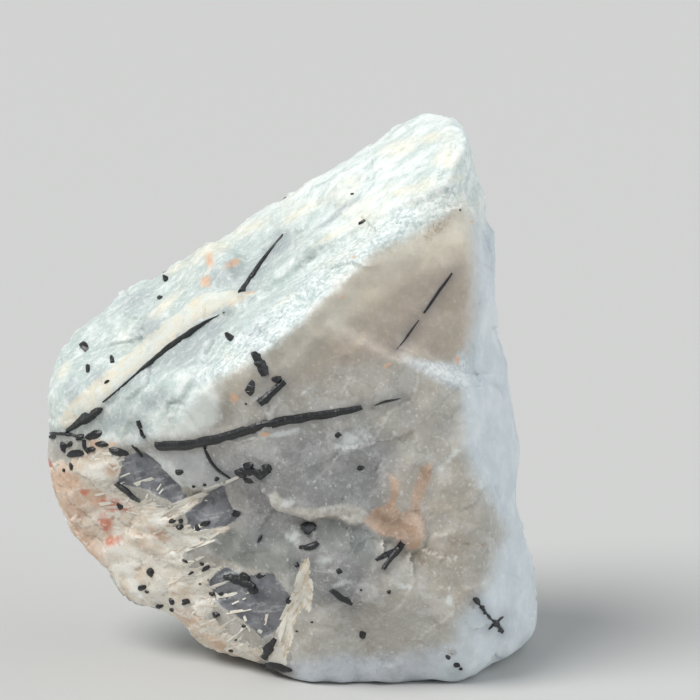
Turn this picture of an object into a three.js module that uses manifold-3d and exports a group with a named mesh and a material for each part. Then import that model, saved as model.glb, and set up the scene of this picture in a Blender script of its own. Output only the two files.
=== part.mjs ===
// Rough moonstone: one upright lump of milky feldspar, with dark tourmaline crystals set in it.
// Millimetres, +Z up, +X to the right of the front face and +Y away behind it.
// The origin is the centre of the small flat spot that the stone rests on.
import * as THREE from "three";
import { mergeVertices } from "three/addons/utils/BufferGeometryUtils.js";
import Module from "manifold-3d";

const wasm = await Module();
wasm.setup();

// Driving dimensions
const STONE_HEIGHT = 90;
const CONTACT_GAP = 0.3;
const EDGE_ROUNDING = 1.6;
const BACK_ROUNDING = 2.4;
const OUTLINE_ROUNDING = 1.3;
const CRYSTAL_PROUD = 0.4;
const STONE_MESH_DETAIL = 18;
const FRONT_DENSITY = 0.3;

// The front view that outline, ridges and crystals are drawn in.
// It looks down a little, and its units are 575 to the height of the stone.
const VIEW_TILT = THREE.MathUtils.degToRad(12);
const VIEW_DISTANCE = 450;
const VIEW_CENTRE = [350, 350];
const VIEW_UNIT = STONE_HEIGHT / 575;
const BASE_CENTRE_ACROSS = 385;
const VIEW_CENTRE_HEIGHT = 51.2;

const viewRight = new THREE.Vector3(1, 0, 0);
const viewUp = new THREE.Vector3(0, Math.sin(VIEW_TILT), Math.cos(VIEW_TILT));
const viewAway = new THREE.Vector3(0, Math.cos(VIEW_TILT), -Math.sin(VIEW_TILT));
const viewTarget = new THREE.Vector3(
  (VIEW_CENTRE[0] - BASE_CENTRE_ACROSS) * VIEW_UNIT, 0, VIEW_CENTRE_HEIGHT);
const viewEye = viewTarget.clone().addScaledVector(viewAway, -VIEW_DISTANCE);

// Outline of the stone in the front view, [across, down], clockwise from the peak.
const OUTLINE = [
  [426, 111], [446, 115], [464, 126], [471, 150], [475, 172], [492, 194], [497, 221], [495, 240],
  [494, 300], [496, 328], [508, 365], [514, 420], [519, 448], [515, 485], [514, 500], [518, 523],
  [534, 555], [537, 620], [531, 644], [502, 661], [487, 666], [475, 677], [464, 689], [286, 689],
  [270, 670], [245, 659], [235, 661], [218, 656], [200, 643], [177, 616], [140, 603], [126, 598],
  [102, 562], [74, 536], [56, 500], [48, 455], [52, 434], [47, 404], [56, 360], [72, 334],
  [112, 300], [160, 265], [176, 252], [202, 240], [226, 233], [264, 209], [306, 183], [338, 165],
  [364, 149], [398, 123], [414, 114],
];
const OUTLINE_CENTRE = [300, 430];

// Broken faces of the stone, each through three points [across, down in the view, depth along Y].
const FRONT_FACES = {
  outerSlope: [[414, 107, 9], [90, 309, 10], [300, 258, -5]],
  innerSlope: [[340, 236, -5], [150, 365, -4], [262, 338, -16]],
  leftShoulder: [[41, 385, 7], [42, 450, 6], [160, 400, -9.5]],
  front: [[440, 222, -9], [245, 350, -17], [390, 600, -17]],
  lowerLeft: [[290, 520, -17], [55, 470, 4], [180, 629, -1]],
  lowerFront: [[280, 600, -16.5], [450, 600, -16.5], [380, 686, -11]],
  rightSide: [[484, 198, -6], [489, 335, -10], [528, 300, 8]],
  rightFlank: [[467, 395, -13], [470, 500, -16.5], [523, 440, 6]],
  lowerRight: [[510, 560, -11], [478, 654, -12], [548, 626, 4]],
};
const BACK_FACES = {
  back: [[330, 400, 25], [430, 300, 23], [380, 600, 23]],
  backUpperLeft: [[306, 175, 19], [90, 308, 19], [330, 320, 27]],
  backLeft: [[44, 430, 13], [56, 500, 11], [190, 430, 25]],
  backLowerLeft: [[102, 562, 7], [200, 643, 6], [260, 500, 24]],
  backRight: [[512, 400, 10], [537, 600, 12], [440, 450, 24.5]],
  backPeak: [[430, 107, 15], [490, 170, 11], [400, 260, 24]],
  backFoot: [[300, 650, 14], [460, 650, 14], [380, 560, 25]],
  underLeft: [[298, 686, -10], [235, 661, -4], [294, 655, 14]],
  underRight: [[462, 692, -9], [502, 668, -4], [472, 657, 14]],
};

// Ledges of the front, drawn in the front view.
// Side -1 lies left of the line's direction and side 1 right of it; that side sinks by depth and comes
// back to the surface over fade. Sizes are millimetres.
const LEDGES = [
  { line: [[404, 360], [432, 374], [455, 386], [483, 386]], side: -1, depth: 2.6, fade: 15 },
  { line: [[262, 494], [285, 510], [300, 515], [320, 512], [345, 505], [366, 511]],
    side: 1, depth: 1.5, fade: 7 },
  { line: [[385, 468], [372, 498], [395, 520], [425, 545], [430, 562]], side: 1, depth: 0.9, fade: 6 },
  { line: [[150, 440], [190, 485], [205, 492], [246, 478]], side: 1, depth: 1.2, fade: 6 },
  { line: [[262, 290], [232, 291], [196, 300], [150, 345], [110, 385]], side: 1, depth: 1.1, fade: 5 },
  { line: [[455, 184], [355, 226], [300, 260]], side: -1, depth: 0.8, fade: 5 },
  { line: [[190, 500], [230, 525], [208, 556], [236, 576]], side: -1, depth: 1.2, fade: 6 },
  { line: [[310, 548], [296, 600], [270, 655]], side: -1, depth: 0.8, fade: 5 },
];

// Long low ribs: the fibres of the lower left corner, the streaks along the upper slope and the swells of
// the right of the front. Each has its middle in the view and, in millimetres, its reach, spacing and
// height; they run at an angle, in degrees.
const RIBS = [
  { middle: [150, 545], reach: 17, angle: 38, spacing: 3.8, height: 0.55 },
  { middle: [270, 240], reach: 26, angle: 147, spacing: 4.4, height: 0.4 },
  { middle: [420, 440], reach: 16, angle: 115, spacing: 6.5, height: 0.35 },
];

// The ribs wander from side to side by this much, in millimetres, over this length.
const RIB_WANDER = 0.7;
const RIB_WANDER_LENGTH = 4.1;

// Rough breaks: facets are small tilted flats, swells are smooth, each with its size across and how far it
// moves the surface, in millimetres. The back is rougher than the front.
const ROUGHNESS = [
  { shape: facets, size: 9, height: 0.6, seed: 3 },
  { shape: swells, size: 11, height: 0.5, seed: 21 },
  { shape: facets, size: 5, height: 0.2, seed: 11 },
];
const BACK_ROUGHNESS = [
  { shape: facets, size: 17, height: 1.9, seed: 5 },
  { shape: swells, size: 19, height: 0.9, seed: 31 },
];

// Tourmaline crystals: their middle line in the front view, half thickness at each point, in millimetres.
const CRYSTALS = {
  tourmaline_front_rod: {
    line: [[159, 446], [200, 444], [260, 428], [310, 418], [362, 407]],
    radii: [0.75, 0.8, 0.68, 0.62, 0.42], rings: 8 },
  tourmaline_front_branch: { line: [[206, 456], [214, 466], [230, 478]], radii: [0.4, 0.5, 0.35], rings: 3 },
  tourmaline_crease_rod: { line: [[103, 402], [150, 362], [198, 326]], radii: [0.55, 0.5, 0.34], rings: 5 },
  tourmaline_left_lens: { line: [[70, 431], [84, 421], [98, 412]], radii: [0.35, 0.7, 0.4], rings: 3 },
  tourmaline_upper_rod: { line: [[283, 235], [260, 264], [240, 292]], radii: [0.28, 0.42, 0.5], rings: 3 },
  tourmaline_right_needle: { line: [[451, 273], [438, 291], [424, 313]], radii: [0.28, 0.3, 0.26], rings: 3 },
  tourmaline_ridge_chunk: { line: [[256, 353], [261, 363], [265, 375]], radii: [0.6, 0.95, 0.75], rings: 3 },
  tourmaline_short_prism: { line: [[262, 402], [273, 393], [285, 382]], radii: [0.65, 0.7, 0.6], rings: 3 },
  tourmaline_middle_cluster: { line: [[238, 474], [252, 471], [267, 468]], radii: [0.6, 1.0, 0.6], rings: 3 },
  tourmaline_forked_rod: { line: [[403, 544], [393, 555], [383, 566]], radii: [0.45, 0.5, 0.35], rings: 3 },
  tourmaline_dark_cluster: { line: [[230, 579], [242, 582], [256, 586]], radii: [0.6, 0.95, 0.55], rings: 3 },
  tourmaline_foot_lens: { line: [[264, 664], [278, 667], [292, 669]], radii: [0.45, 0.75, 0.45], rings: 3 },
  tourmaline_lower_rod: { line: [[475, 600], [488, 614], [500, 628]], radii: [0.32, 0.36, 0.3], rings: 3 },
  tourmaline_corner_rod: { line: [[120, 488], [132, 494], [146, 500]], radii: [0.35, 0.45, 0.35], rings: 3 },
};
const CRYSTAL_SIDES = 6;

// A point's place in the front view.
function inView(point) {
  const offset = point.clone().sub(viewTarget);
  const scale = VIEW_DISTANCE / (VIEW_DISTANCE + offset.dot(viewAway)) / VIEW_UNIT;
  return [VIEW_CENTRE[0] + offset.dot(viewRight) * scale, VIEW_CENTRE[1] - offset.dot(viewUp) * scale];
}

// The direction from the eye through a place in the view.
function viewRay([across, down]) {
  return viewAway.clone().multiplyScalar(VIEW_DISTANCE)
    .addScaledVector(viewRight, (across - VIEW_CENTRE[0]) * VIEW_UNIT)
    .addScaledVector(viewUp, (VIEW_CENTRE[1] - down) * VIEW_UNIT)
    .normalize();
}

function pointAtDepth([across, down, depth]) {
  const ray = viewRay([across, down]);
  return viewEye.clone().addScaledVector(ray, (depth - viewEye.y) / ray.y);
}

const STONE_MIDDLE = [322, 425, 3];
const stoneMiddle = pointAtDepth(STONE_MIDDLE);

function facePlane(corners) {
  const plane = new THREE.Plane().setFromCoplanarPoints(...corners.map(pointAtDepth));
  return plane.distanceToPoint(stoneMiddle) > 0 ? plane.negate() : plane;
}

const frontPlanes = Object.values(FRONT_FACES).map(facePlane);
const backPlanes = Object.values(BACK_FACES).map(facePlane);

function smoothMax(a, b, width) {
  const near = Math.max(width - Math.abs(a - b), 0) / width;
  return Math.max(a, b) + near * near * width / 4;
}

// A repeatable number from 0 to 1 for each place in a grid.
function scatter(x, y, z, seed) {
  const wave = Math.sin(x * 127.1 + y * 311.7 + z * 74.7 + seed * 53.3) * 43758.5453;
  return wave - Math.floor(wave);
}

// Smooth swells, from -1 to 1.
function swells(point, size, seed) {
  const [x, y, z] = point.clone().divideScalar(size).toArray();
  const [i, j, k] = [x, y, z].map(Math.floor);
  const [fx, fy, fz] = [x - i, y - j, z - k].map((part) => part * part * (3 - 2 * part));
  let total = 0;
  for (let corner = 0; corner < 8; corner++) {
    const [dx, dy, dz] = [corner & 1, (corner >> 1) & 1, corner >> 2];
    const weight = (dx ? fx : 1 - fx) * (dy ? fy : 1 - fy) * (dz ? fz : 1 - fz);
    total += weight * scatter(i + dx, j + dy, k + dz, seed);
  }
  return total * 2 - 1;
}

// Small tilted break facets with edges between them, from about -1 to 1.
function facets(point, size, seed) {
  const cell = point.clone().divideScalar(size);
  const [i, j, k] = cell.toArray().map(Math.floor);
  let nearest = Infinity;
  let value = 0;
  for (let step = 0; step < 27; step++) {
    const [a, b, c] = [i + step % 3 - 1, j + Math.floor(step / 3) % 3 - 1, k + Math.floor(step / 9) - 1];
    const seedPoint = new THREE.Vector3(
      a + scatter(a, b, c, seed), b + scatter(a, b, c, seed + 1), c + scatter(a, b, c, seed + 2));
    const away = cell.clone().sub(seedPoint);
    const distance = away.length();
    if (distance < nearest) {
      nearest = distance;
      const tilt = new THREE.Vector3(
        scatter(a, b, c, seed + 3) - 0.5, scatter(a, b, c, seed + 4) - 0.5, scatter(a, b, c, seed + 5) - 0.5);
      value = away.dot(tilt) * 2 + scatter(a, b, c, seed + 6) - 0.5;
    }
  }
  return value;
}

// Distance of a place in the view from the outline, in millimetres, negative inside.
const outlineRays = OUTLINE.map(([across, down]) => {
  const [right, up] = [across - OUTLINE_CENTRE[0], OUTLINE_CENTRE[1] - down];
  return { angle: Math.atan2(up, right), radius: Math.hypot(right, up) * VIEW_UNIT };
}).sort((one, other) => one.angle - other.angle);

function outlineRadius(angle) {
  const last = outlineRays.length - 1;
  const after = outlineRays.findIndex((ray) => ray.angle > angle);
  const upper = outlineRays[after < 0 ? 0 : after];
  const lower = outlineRays[after <= 0 ? last : after - 1];
  const turn = 2 * Math.PI;
  const span = (upper.angle - lower.angle + turn) % turn;
  const part = ((angle - lower.angle + turn) % turn) / span;
  return lower.radius * upper.radius * Math.sin(span)
    / (lower.radius * Math.sin(part * span) + upper.radius * Math.sin((1 - part) * span));
}

function outsideOutline([across, down]) {
  const [right, up] = [across - OUTLINE_CENTRE[0], OUTLINE_CENTRE[1] - down];
  return Math.hypot(right, up) * VIEW_UNIT - outlineRadius(Math.atan2(up, right));
}

// Signed distance from a drawn line, in millimetres: positive on the right of its direction.
function fromLine([across, down], line) {
  let nearest = Infinity;
  let signed = 0;
  for (let index = 1; index < line.length; index++) {
    const [[x0, y0], [x1, y1]] = [line[index - 1], line[index]];
    const [dx, dy] = [x1 - x0, y1 - y0];
    const along = THREE.MathUtils.clamp(((across - x0) * dx + (down - y0) * dy) / (dx * dx + dy * dy), 0, 1);
    const distance = Math.hypot(across - x0 - along * dx, down - y0 - along * dy);
    if (distance < nearest) {
      nearest = distance;
      signed = Math.sign(dx * (down - y0) - dy * (across - x0)) * distance;
    }
  }
  return { away: nearest * VIEW_UNIT, signed: signed * VIEW_UNIT };
}

const LEDGE_LIP = 1.3;
const LEDGE_END_SHARPNESS = 4;

function ledgeDepth(place) {
  let depth = 0;
  for (const ledge of LEDGES) {
    const { away, signed } = fromLine(place, ledge.line);
    const across = signed * ledge.side;
    if (across > 0 && away < ledge.fade) {
      const lip = Math.min(across / LEDGE_LIP, 1);
      const end = Math.min(across / away, 1) ** LEDGE_END_SHARPNESS;
      depth += ledge.depth * lip * end * (1 - away / ledge.fade);
    }
  }
  return depth;
}

function ribHeight([across, down]) {
  let height = 0;
  for (const rib of RIBS) {
    const [x, y] = [(across - rib.middle[0]) * VIEW_UNIT, (down - rib.middle[1]) * VIEW_UNIT];
    const reach = Math.hypot(x, y) / rib.reach;
    if (reach < 1) {
      const angle = THREE.MathUtils.degToRad(rib.angle);
      const along = x * Math.cos(angle) + y * Math.sin(angle);
      const wander = Math.sin(along / RIB_WANDER_LENGTH) * RIB_WANDER;
      const over = y * Math.cos(angle) - x * Math.sin(angle) + wander;
      const wave = 1 - 2 * Math.abs(Math.sin(Math.PI * over / rib.spacing));
      height += rib.height * wave * (1 - reach * reach);
    }
  }
  return height;
}

// How much of the front's ledges and ribs shows at a depth: all in front, none at the back.
const FRONT_FADE = [-2, 9];

function breaksAt(point, kinds) {
  return kinds.reduce((total, { shape, size, height, seed }) => total + shape(point, size, seed) * height, 0);
}

// Below zero inside the stone, above zero outside, about in millimetres.
function stoneField(point) {
  const place = inView(point);
  let value = frontPlanes[0].distanceToPoint(point);
  for (const plane of frontPlanes.slice(1)) {
    value = smoothMax(value, plane.distanceToPoint(point), EDGE_ROUNDING);
  }
  const inFront = 1 - THREE.MathUtils.smoothstep(point.y, ...FRONT_FADE);
  if (inFront > 0) {
    value += inFront * (ledgeDepth(place) - ribHeight(place));
  }
  for (const plane of backPlanes) {
    value = smoothMax(value, plane.distanceToPoint(point), BACK_ROUNDING);
  }
  value += (1 - inFront) * breaksAt(point, BACK_ROUGHNESS) + breaksAt(point, ROUGHNESS);
  value = smoothMax(value, outsideOutline(place), OUTLINE_ROUNDING);
  return Math.max(value, -point.z);
}

const SEARCH_STEPS = 30;
const SEARCH_REACH = 75;
const SIGHT_STEP = 0.5;

// Where a line from start, which is inside the stone, leaves it.
function surfaceAlong(start, direction) {
  let [inside, outside] = [0, SEARCH_REACH];
  for (let step = 0; step < SEARCH_STEPS; step++) {
    const middle = (inside + outside) / 2;
    if (stoneField(start.clone().addScaledVector(direction, middle)) < 0) {
      inside = middle;
    } else {
      outside = middle;
    }
  }
  return start.clone().addScaledVector(direction, inside);
}

// Where the line of sight through a place in the view first meets the stone.
function surfaceSeen(place) {
  const ray = viewRay(place);
  const nearest = VIEW_DISTANCE - SEARCH_REACH / 2;
  let far = nearest;
  while (stoneField(viewEye.clone().addScaledVector(ray, far)) > 0 && far < nearest + SEARCH_REACH) {
    far += SIGHT_STEP;
  }
  let near = far - SIGHT_STEP;
  for (let step = 0; step < SEARCH_STEPS; step++) {
    const middle = (near + far) / 2;
    if (stoneField(viewEye.clone().addScaledVector(ray, middle)) > 0) {
      near = middle;
    } else {
      far = middle;
    }
  }
  return viewEye.clone().addScaledVector(ray, far);
}

const OUTWARD_REACH = 1.2;

// The way out of the stone at a point, averaged over a little of its surface.
function outwardAt(point) {
  const slope = ["x", "y", "z"].map((axis) => {
    const [ahead, behind] = [point.clone(), point.clone()];
    ahead[axis] += OUTWARD_REACH;
    behind[axis] -= OUTWARD_REACH;
    return stoneField(ahead) - stoneField(behind);
  });
  return new THREE.Vector3(...slope).normalize();
}

function onlyPositions(geometry) {
  geometry.deleteAttribute("normal");
  geometry.deleteAttribute("uv");
  return mergeVertices(geometry);
}

const FLAT_SNAP = 0.02;
const FRONT_WARD = new THREE.Vector3(-0.35, -1, 0.45).normalize();

function stoneGeometry() {
  const geometry = onlyPositions(new THREE.IcosahedronGeometry(1, STONE_MESH_DETAIL));
  const positions = geometry.attributes.position;
  for (let index = 0; index < positions.count; index++) {
    const direction = new THREE.Vector3().fromBufferAttribute(positions, index).normalize()
      .addScaledVector(FRONT_WARD, FRONT_DENSITY).normalize();
    const point = surfaceAlong(stoneMiddle, direction);
    point.z = point.z < FLAT_SNAP ? 0 : point.z;
    positions.setXYZ(index, ...point.toArray());
  }
  return geometry;
}

// A long prism along a line on the stone, a little proud of it; swollen by margin where it cuts its bed.
function crystalGeometry({ line, radii, rings }, margin) {
  const points = line.map(surfaceSeen);
  const outward = points.map(outwardAt);
  points.forEach((point, index) => point.addScaledVector(outward[index], CRYSTAL_PROUD - radii[index]));
  const [first, last] = [points[0], points[points.length - 1]];
  first.addScaledVector(first.clone().sub(points[1]).normalize(), margin);
  last.addScaledVector(last.clone().sub(points[points.length - 2]).normalize(), margin);
  const path = new THREE.CatmullRomCurve3(points);
  const geometry = onlyPositions(new THREE.CylinderGeometry(1, 1, 1, CRYSTAL_SIDES, rings));
  const positions = geometry.attributes.position;
  for (let index = 0; index < positions.count; index++) {
    const vertex = new THREE.Vector3().fromBufferAttribute(positions, index);
    const along = vertex.y + 0.5;
    const step = Math.min(Math.floor(along * (radii.length - 1)), radii.length - 2);
    const part = along * (radii.length - 1) - step;
    const radius = THREE.MathUtils.lerp(radii[step], radii[step + 1], part) + margin;
    const tangent = path.getTangentAt(along);
    const out = outward[step].clone().lerp(outward[step + 1], part);
    out.addScaledVector(tangent, -out.dot(tangent)).normalize();
    const across = tangent.clone().cross(out);
    const point = path.getPointAt(along)
      .addScaledVector(across, vertex.x * radius)
      .addScaledVector(out, vertex.z * radius);
    positions.setXYZ(index, ...point.toArray());
  }
  return geometry;
}

function toSolid(geometry) {
  return new wasm.Manifold(new wasm.Mesh({
    numProp: 3,
    vertProperties: new Float32Array(geometry.attributes.position.array),
    triVerts: new Uint32Array(geometry.index.array),
  }));
}

function fromSolid(solid) {
  const mesh = solid.getMesh();
  const geometry = new THREE.BufferGeometry();
  geometry.setAttribute("position", new THREE.BufferAttribute(mesh.vertProperties, 3));
  geometry.setIndex(new THREE.BufferAttribute(mesh.triVerts, 1));
  return geometry;
}

const moonstoneLook = new THREE.MeshStandardMaterial({ color: 0xd9d4cc, roughness: 0.5, metalness: 0 });
const tourmalineLook = new THREE.MeshStandardMaterial({ color: 0x23262b, roughness: 0.35, metalness: 0 });

function namedMesh(name, geometry, look) {
  const mesh = new THREE.Mesh(geometry, look);
  mesh.name = name;
  return mesh;
}

const specimen = new THREE.Group();
specimen.name = "rough_moonstone";

let stone = toSolid(stoneGeometry());
for (const [name, crystal] of Object.entries(CRYSTALS)) {
  stone = stone.subtract(toSolid(crystalGeometry(crystal, CONTACT_GAP)));
  specimen.add(namedMesh(name, crystalGeometry(crystal, 0), tourmalineLook));
}
specimen.add(namedMesh("moonstone", fromSolid(stone), moonstoneLook));

export default specimen;
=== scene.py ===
# %% [markdown]
# # A rough moonstone with tourmaline
# The real thing is one broken lump of milky feldspar, 90 mm tall, that stands on a small flat spot.
# Dark tourmaline crystals grew through it, and every side is a break: smooth where the feldspar parted
# along a flat, sugary where it was crushed. This lesson keeps the measured solids as the frame and gives
# them the stone's real surface: finer breaks and ledges in the mesh, zones of colour, and the crystals.

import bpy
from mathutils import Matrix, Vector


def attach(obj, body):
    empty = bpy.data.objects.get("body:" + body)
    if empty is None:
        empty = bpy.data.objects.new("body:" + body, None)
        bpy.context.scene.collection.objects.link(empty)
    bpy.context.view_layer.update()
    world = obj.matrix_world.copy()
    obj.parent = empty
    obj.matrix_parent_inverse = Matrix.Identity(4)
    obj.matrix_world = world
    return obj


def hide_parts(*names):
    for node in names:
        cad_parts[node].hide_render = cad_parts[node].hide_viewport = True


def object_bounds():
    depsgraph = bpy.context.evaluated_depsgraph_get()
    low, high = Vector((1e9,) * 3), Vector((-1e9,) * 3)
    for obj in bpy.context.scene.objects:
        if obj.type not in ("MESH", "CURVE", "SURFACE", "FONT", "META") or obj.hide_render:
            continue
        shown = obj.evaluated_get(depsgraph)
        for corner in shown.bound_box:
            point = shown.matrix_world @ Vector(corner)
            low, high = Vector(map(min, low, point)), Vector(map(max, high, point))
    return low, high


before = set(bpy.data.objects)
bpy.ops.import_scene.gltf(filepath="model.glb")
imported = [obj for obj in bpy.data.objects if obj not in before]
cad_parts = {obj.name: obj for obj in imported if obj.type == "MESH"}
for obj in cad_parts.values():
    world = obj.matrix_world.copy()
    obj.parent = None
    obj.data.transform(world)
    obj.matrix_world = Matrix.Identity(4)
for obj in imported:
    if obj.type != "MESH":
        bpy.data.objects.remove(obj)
cad_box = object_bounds()
print("CAD box in metres:", [[round(x, 4) for x in corner] for corner in cad_box])

# %% Tools used below
import itertools
import math

import bmesh
import bpy
import numpy as np
from mathutils import Vector
from mathutils.bvhtree import BVHTree

MM = 0.001

# %% [markdown]
# ## The front view
# The stone is drawn in one view: from the front, looking down 12 degrees. Lines, zones and crystals are
# given as [across, down] in that view, in units of which 575 make the height of the stone. A camera at
# the same eye then sees each of them where it was drawn.

# %% The eye of the front view
STONE_HEIGHT = 90 * MM
VIEW_UNIT = STONE_HEIGHT / 575
VIEW_SIZE = 700
VIEW_CENTRE = (350, 350)
BASE_CENTRE_ACROSS = 385
VIEW_CENTRE_HEIGHT = 51.2 * MM
VIEW_TILT = math.radians(12)
VIEW_DISTANCE = 450 * MM

view_right = Vector((1, 0, 0))
view_up = Vector((0, math.sin(VIEW_TILT), math.cos(VIEW_TILT)))
view_away = Vector((0, math.cos(VIEW_TILT), -math.sin(VIEW_TILT)))
view_target = Vector(((VIEW_CENTRE[0] - BASE_CENTRE_ACROSS) * VIEW_UNIT, 0, VIEW_CENTRE_HEIGHT))
view_eye = view_target - view_away * VIEW_DISTANCE


def sight_line(place):
    """The direction from the eye through a place in the view."""
    across = (place[0] - VIEW_CENTRE[0]) * VIEW_UNIT
    up = (VIEW_CENTRE[1] - place[1]) * VIEW_UNIT
    return (view_away * VIEW_DISTANCE + view_right * across + view_up * up).normalized()


def places_seen(points):
    """Where points, in millimetres, lie in the view: one row of across and down for each."""
    offset = points * MM - np.array(view_target)
    scale = VIEW_DISTANCE / (VIEW_DISTANCE + offset @ np.array(view_away)) / VIEW_UNIT
    across = VIEW_CENTRE[0] + offset @ np.array(view_right) * scale
    down = VIEW_CENTRE[1] - offset @ np.array(view_up) * scale
    return np.column_stack((across, down))


# %% Camera at the eye
SENSOR_WIDTH = 36
NEAREST_SEEN = 0.01


def placed(name, data):
    """A new object of the scene."""
    piece = bpy.data.objects.new(name, data)
    bpy.context.scene.collection.objects.link(piece)
    return piece


camera_data = bpy.data.cameras.new("camera")
camera_data.sensor_width = SENSOR_WIDTH
camera_data.lens = SENSOR_WIDTH * VIEW_DISTANCE / (VIEW_SIZE * VIEW_UNIT)
camera_data.clip_start = NEAREST_SEEN
camera = placed("camera", camera_data)
camera.location = view_eye
camera.rotation_euler = (math.pi / 2 - VIEW_TILT, 0, 0)
bpy.context.scene.camera = camera
print("lens in millimetres:", round(camera_data.lens, 1))

# %% [markdown]
# ## A small language for finishes
# A finish is a tree of nodes. `Wire` holds one output of a node, and `+ - *` on wires add the Math nodes,
# so that a mask reads as the sum it is. `Finish.add` makes any other node from its type, its settings and
# what its sockets get. Colours are written as a screen shows them and turned into linear light. `coats`
# lays one colour over another, each as far as its mask says.


# %% Wires and finishes
def tint(red, green, blue):
    """A colour of 0 to 255 a channel, as a screen shows it, in the shader's own linear values."""
    linear = [((c / 255 + 0.055) / 1.055) ** 2.4 if c > 10 else c / 255 / 12.92 for c in (red, green, blue)]
    return (*linear, 1)


def shade(colour):
    """A wire as it is, and a written colour as its tint."""
    return colour if isinstance(colour, Wire) else tint(*colour)


class Wire:
    """One output of a finish's nodes, for use in sums."""

    def __init__(self, finish, socket):
        self.finish = finish
        self.socket = socket

    def maths(self, operation, *values):
        return self.finish.add("Math", {"operation": operation}, dict(enumerate(values)))

    def __add__(self, other):
        return self.maths("ADD", self, other)

    def __radd__(self, other):
        return self.maths("ADD", other, self)

    def __sub__(self, other):
        return self.maths("SUBTRACT", self, other)

    def __rsub__(self, other):
        return self.maths("SUBTRACT", other, self)

    def __mul__(self, other):
        return self.maths("MULTIPLY", self, other)

    def __rmul__(self, other):
        return self.maths("MULTIPLY", other, self)

    def over(self, low, high):
        """0 below low, 1 above high, and smooth in between."""
        settings = {"interpolation_type": "SMOOTHSTEP"}
        return self.finish.add("MapRange", settings, {"Value": self, "From Min": low, "From Max": high})


class Finish:
    """A material under construction."""

    def __init__(self, name):
        self.material = bpy.data.materials.new(name)
        self.material.use_nodes = True
        self.tree = self.material.node_tree
        self.tree.nodes.clear()
        self.where = self.add("TexCoord", output="Object")

    def add(self, kind, settings=None, inputs=None, output=0):
        """A node of that kind; settings first, then what its sockets get. Gives the chosen output."""
        node = self.tree.nodes.new("ShaderNode" + kind)
        for name, value in (settings or {}).items():
            setattr(node, name, value)
        for name, value in (inputs or {}).items():
            if isinstance(value, Wire):
                self.tree.links.new(value.socket, node.inputs[name])
            else:
                node.inputs[name].default_value = value
        return Wire(self, node.outputs[output])

    def mix(self, mask, first, second):
        """The first colour where the mask is 0, the second where it is 1."""
        first_socket, second_socket, colour_output = 6, 7, 2
        inputs = {0: mask, first_socket: shade(first), second_socket: shade(second)}
        return self.add("Mix", {"data_type": "RGBA"}, inputs, colour_output)

    def coats(self, colour, *layers):
        """A colour under layers, each a mask and the colour that it lets show."""
        for mask, layer in layers:
            colour = self.mix(mask, colour, layer)
        return colour

    def measured(self, name):
        """A number that the mesh carries at each vertex."""
        return self.add("Attribute", {"attribute_name": name}, output="Fac")

    def vector(self, operation, *values, output="Vector"):
        return self.add("VectorMath", {"operation": operation}, dict(enumerate(values)), output)

    def scaled(self, vector, factor):
        return self.add("VectorMath", {"operation": "SCALE"}, {0: vector, "Scale": factor})

    def part_along(self, vector, axis):
        """How far a vector goes along an axis."""
        return self.vector("DOT_PRODUCT", vector, axis, output="Value")

    def drawn_out(self, direction, stretch):
        """The place on the piece, squeezed along a direction, so that a pattern on it is drawn out."""
        axis = Vector(direction).normalized()
        far = self.part_along(self.where, axis) * (1 - 1 / stretch)
        return self.vector("SUBTRACT", self.where, self.scaled(axis, far))

    def noise(self, size, detail=3.0, roughness=0.55, at=None):
        """Cloudy values about 0.5, with patches about that many millimetres across."""
        inputs = {"Vector": at or self.where, "Scale": 1 / (size * MM)}
        return self.add("TexNoise", {}, {**inputs, "Detail": detail, "Roughness": roughness}, "Fac")

    def grains(self, size):
        """Cells with uneven sides, about that many millimetres across, each with a colour of its own."""
        shift = self.add("TexNoise", {}, {"Vector": self.where, "Scale": 2 / (size * MM)}, "Color")
        at = self.vector("ADD", self.where, self.scaled(shift, size * MM * 0.7))
        return self.add("TexVoronoi", {}, {"Vector": at, "Scale": 1 / (size * MM)}, "Color")

    def tipped(self, facing, cell_colour, amount):
        """The facing direction, tipped by up to amount, each cell its own way."""
        tip = self.scaled(self.vector("SUBTRACT", cell_colour, (0.5, 0.5, 0.5)), amount)
        return self.vector("NORMALIZE", self.vector("ADD", facing, tip))

    def bump(self, height, strength, distance, **facing):
        """The facing direction where a height, in units of distance millimetres, tilts the surface."""
        inputs = {"Height": height, "Strength": strength, "Distance": distance * MM, **facing}
        return self.add("Bump", {}, inputs)

    def close(self, **inputs):
        """Ends the tree in one surface shader with these inputs."""
        surface = self.add("BsdfPrincipled", inputs={k.replace("_", " "): v for k, v in inputs.items()})
        output = self.tree.nodes.new("ShaderNodeOutputMaterial")
        self.tree.links.new(surface.socket, output.inputs["Surface"])
        return self.material


# %% [markdown]
# ## Floor and light
# The floor is a plain pale sheet. A broad sun from above and the left makes the upper slope nearly white
# and leaves the front face grey, as on the real stone in daylight. A weak cool one from the right opens
# the flank, and the sky fills the rest. Colours are shown plainly, with no film curve.

# %% Floor
FLOOR_SIZE = 8.0
FLOOR_TINT = tint(200, 200, 198)


def added(name, primitive, **settings):
    """A new primitive, with the name that it gets."""
    bpy.ops.object.select_all(action="DESELECT")
    primitive(**settings)
    bpy.context.object.name = name
    return bpy.context.object


floor = added("floor", bpy.ops.mesh.primitive_plane_add, size=FLOOR_SIZE, location=(0, 0, 0))
floor.data.materials.append(Finish("floor").close(Base_Color=FLOOR_TINT, Roughness=0.9))

# %% Lights
SKY_TINT = tint(232, 234, 238)
SKY_STRENGTH = 0.45


def broad_sun(name, comes_from, spread, strength, colour):
    """A sun as wide as spread degrees, so that its shadows are soft."""
    data = bpy.data.lights.new(name, "SUN")
    data.angle = math.radians(spread)
    data.energy = strength
    data.color = colour
    placed(name, data).rotation_euler = Vector(comes_from).to_track_quat("Z", "Y").to_euler()


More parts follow.
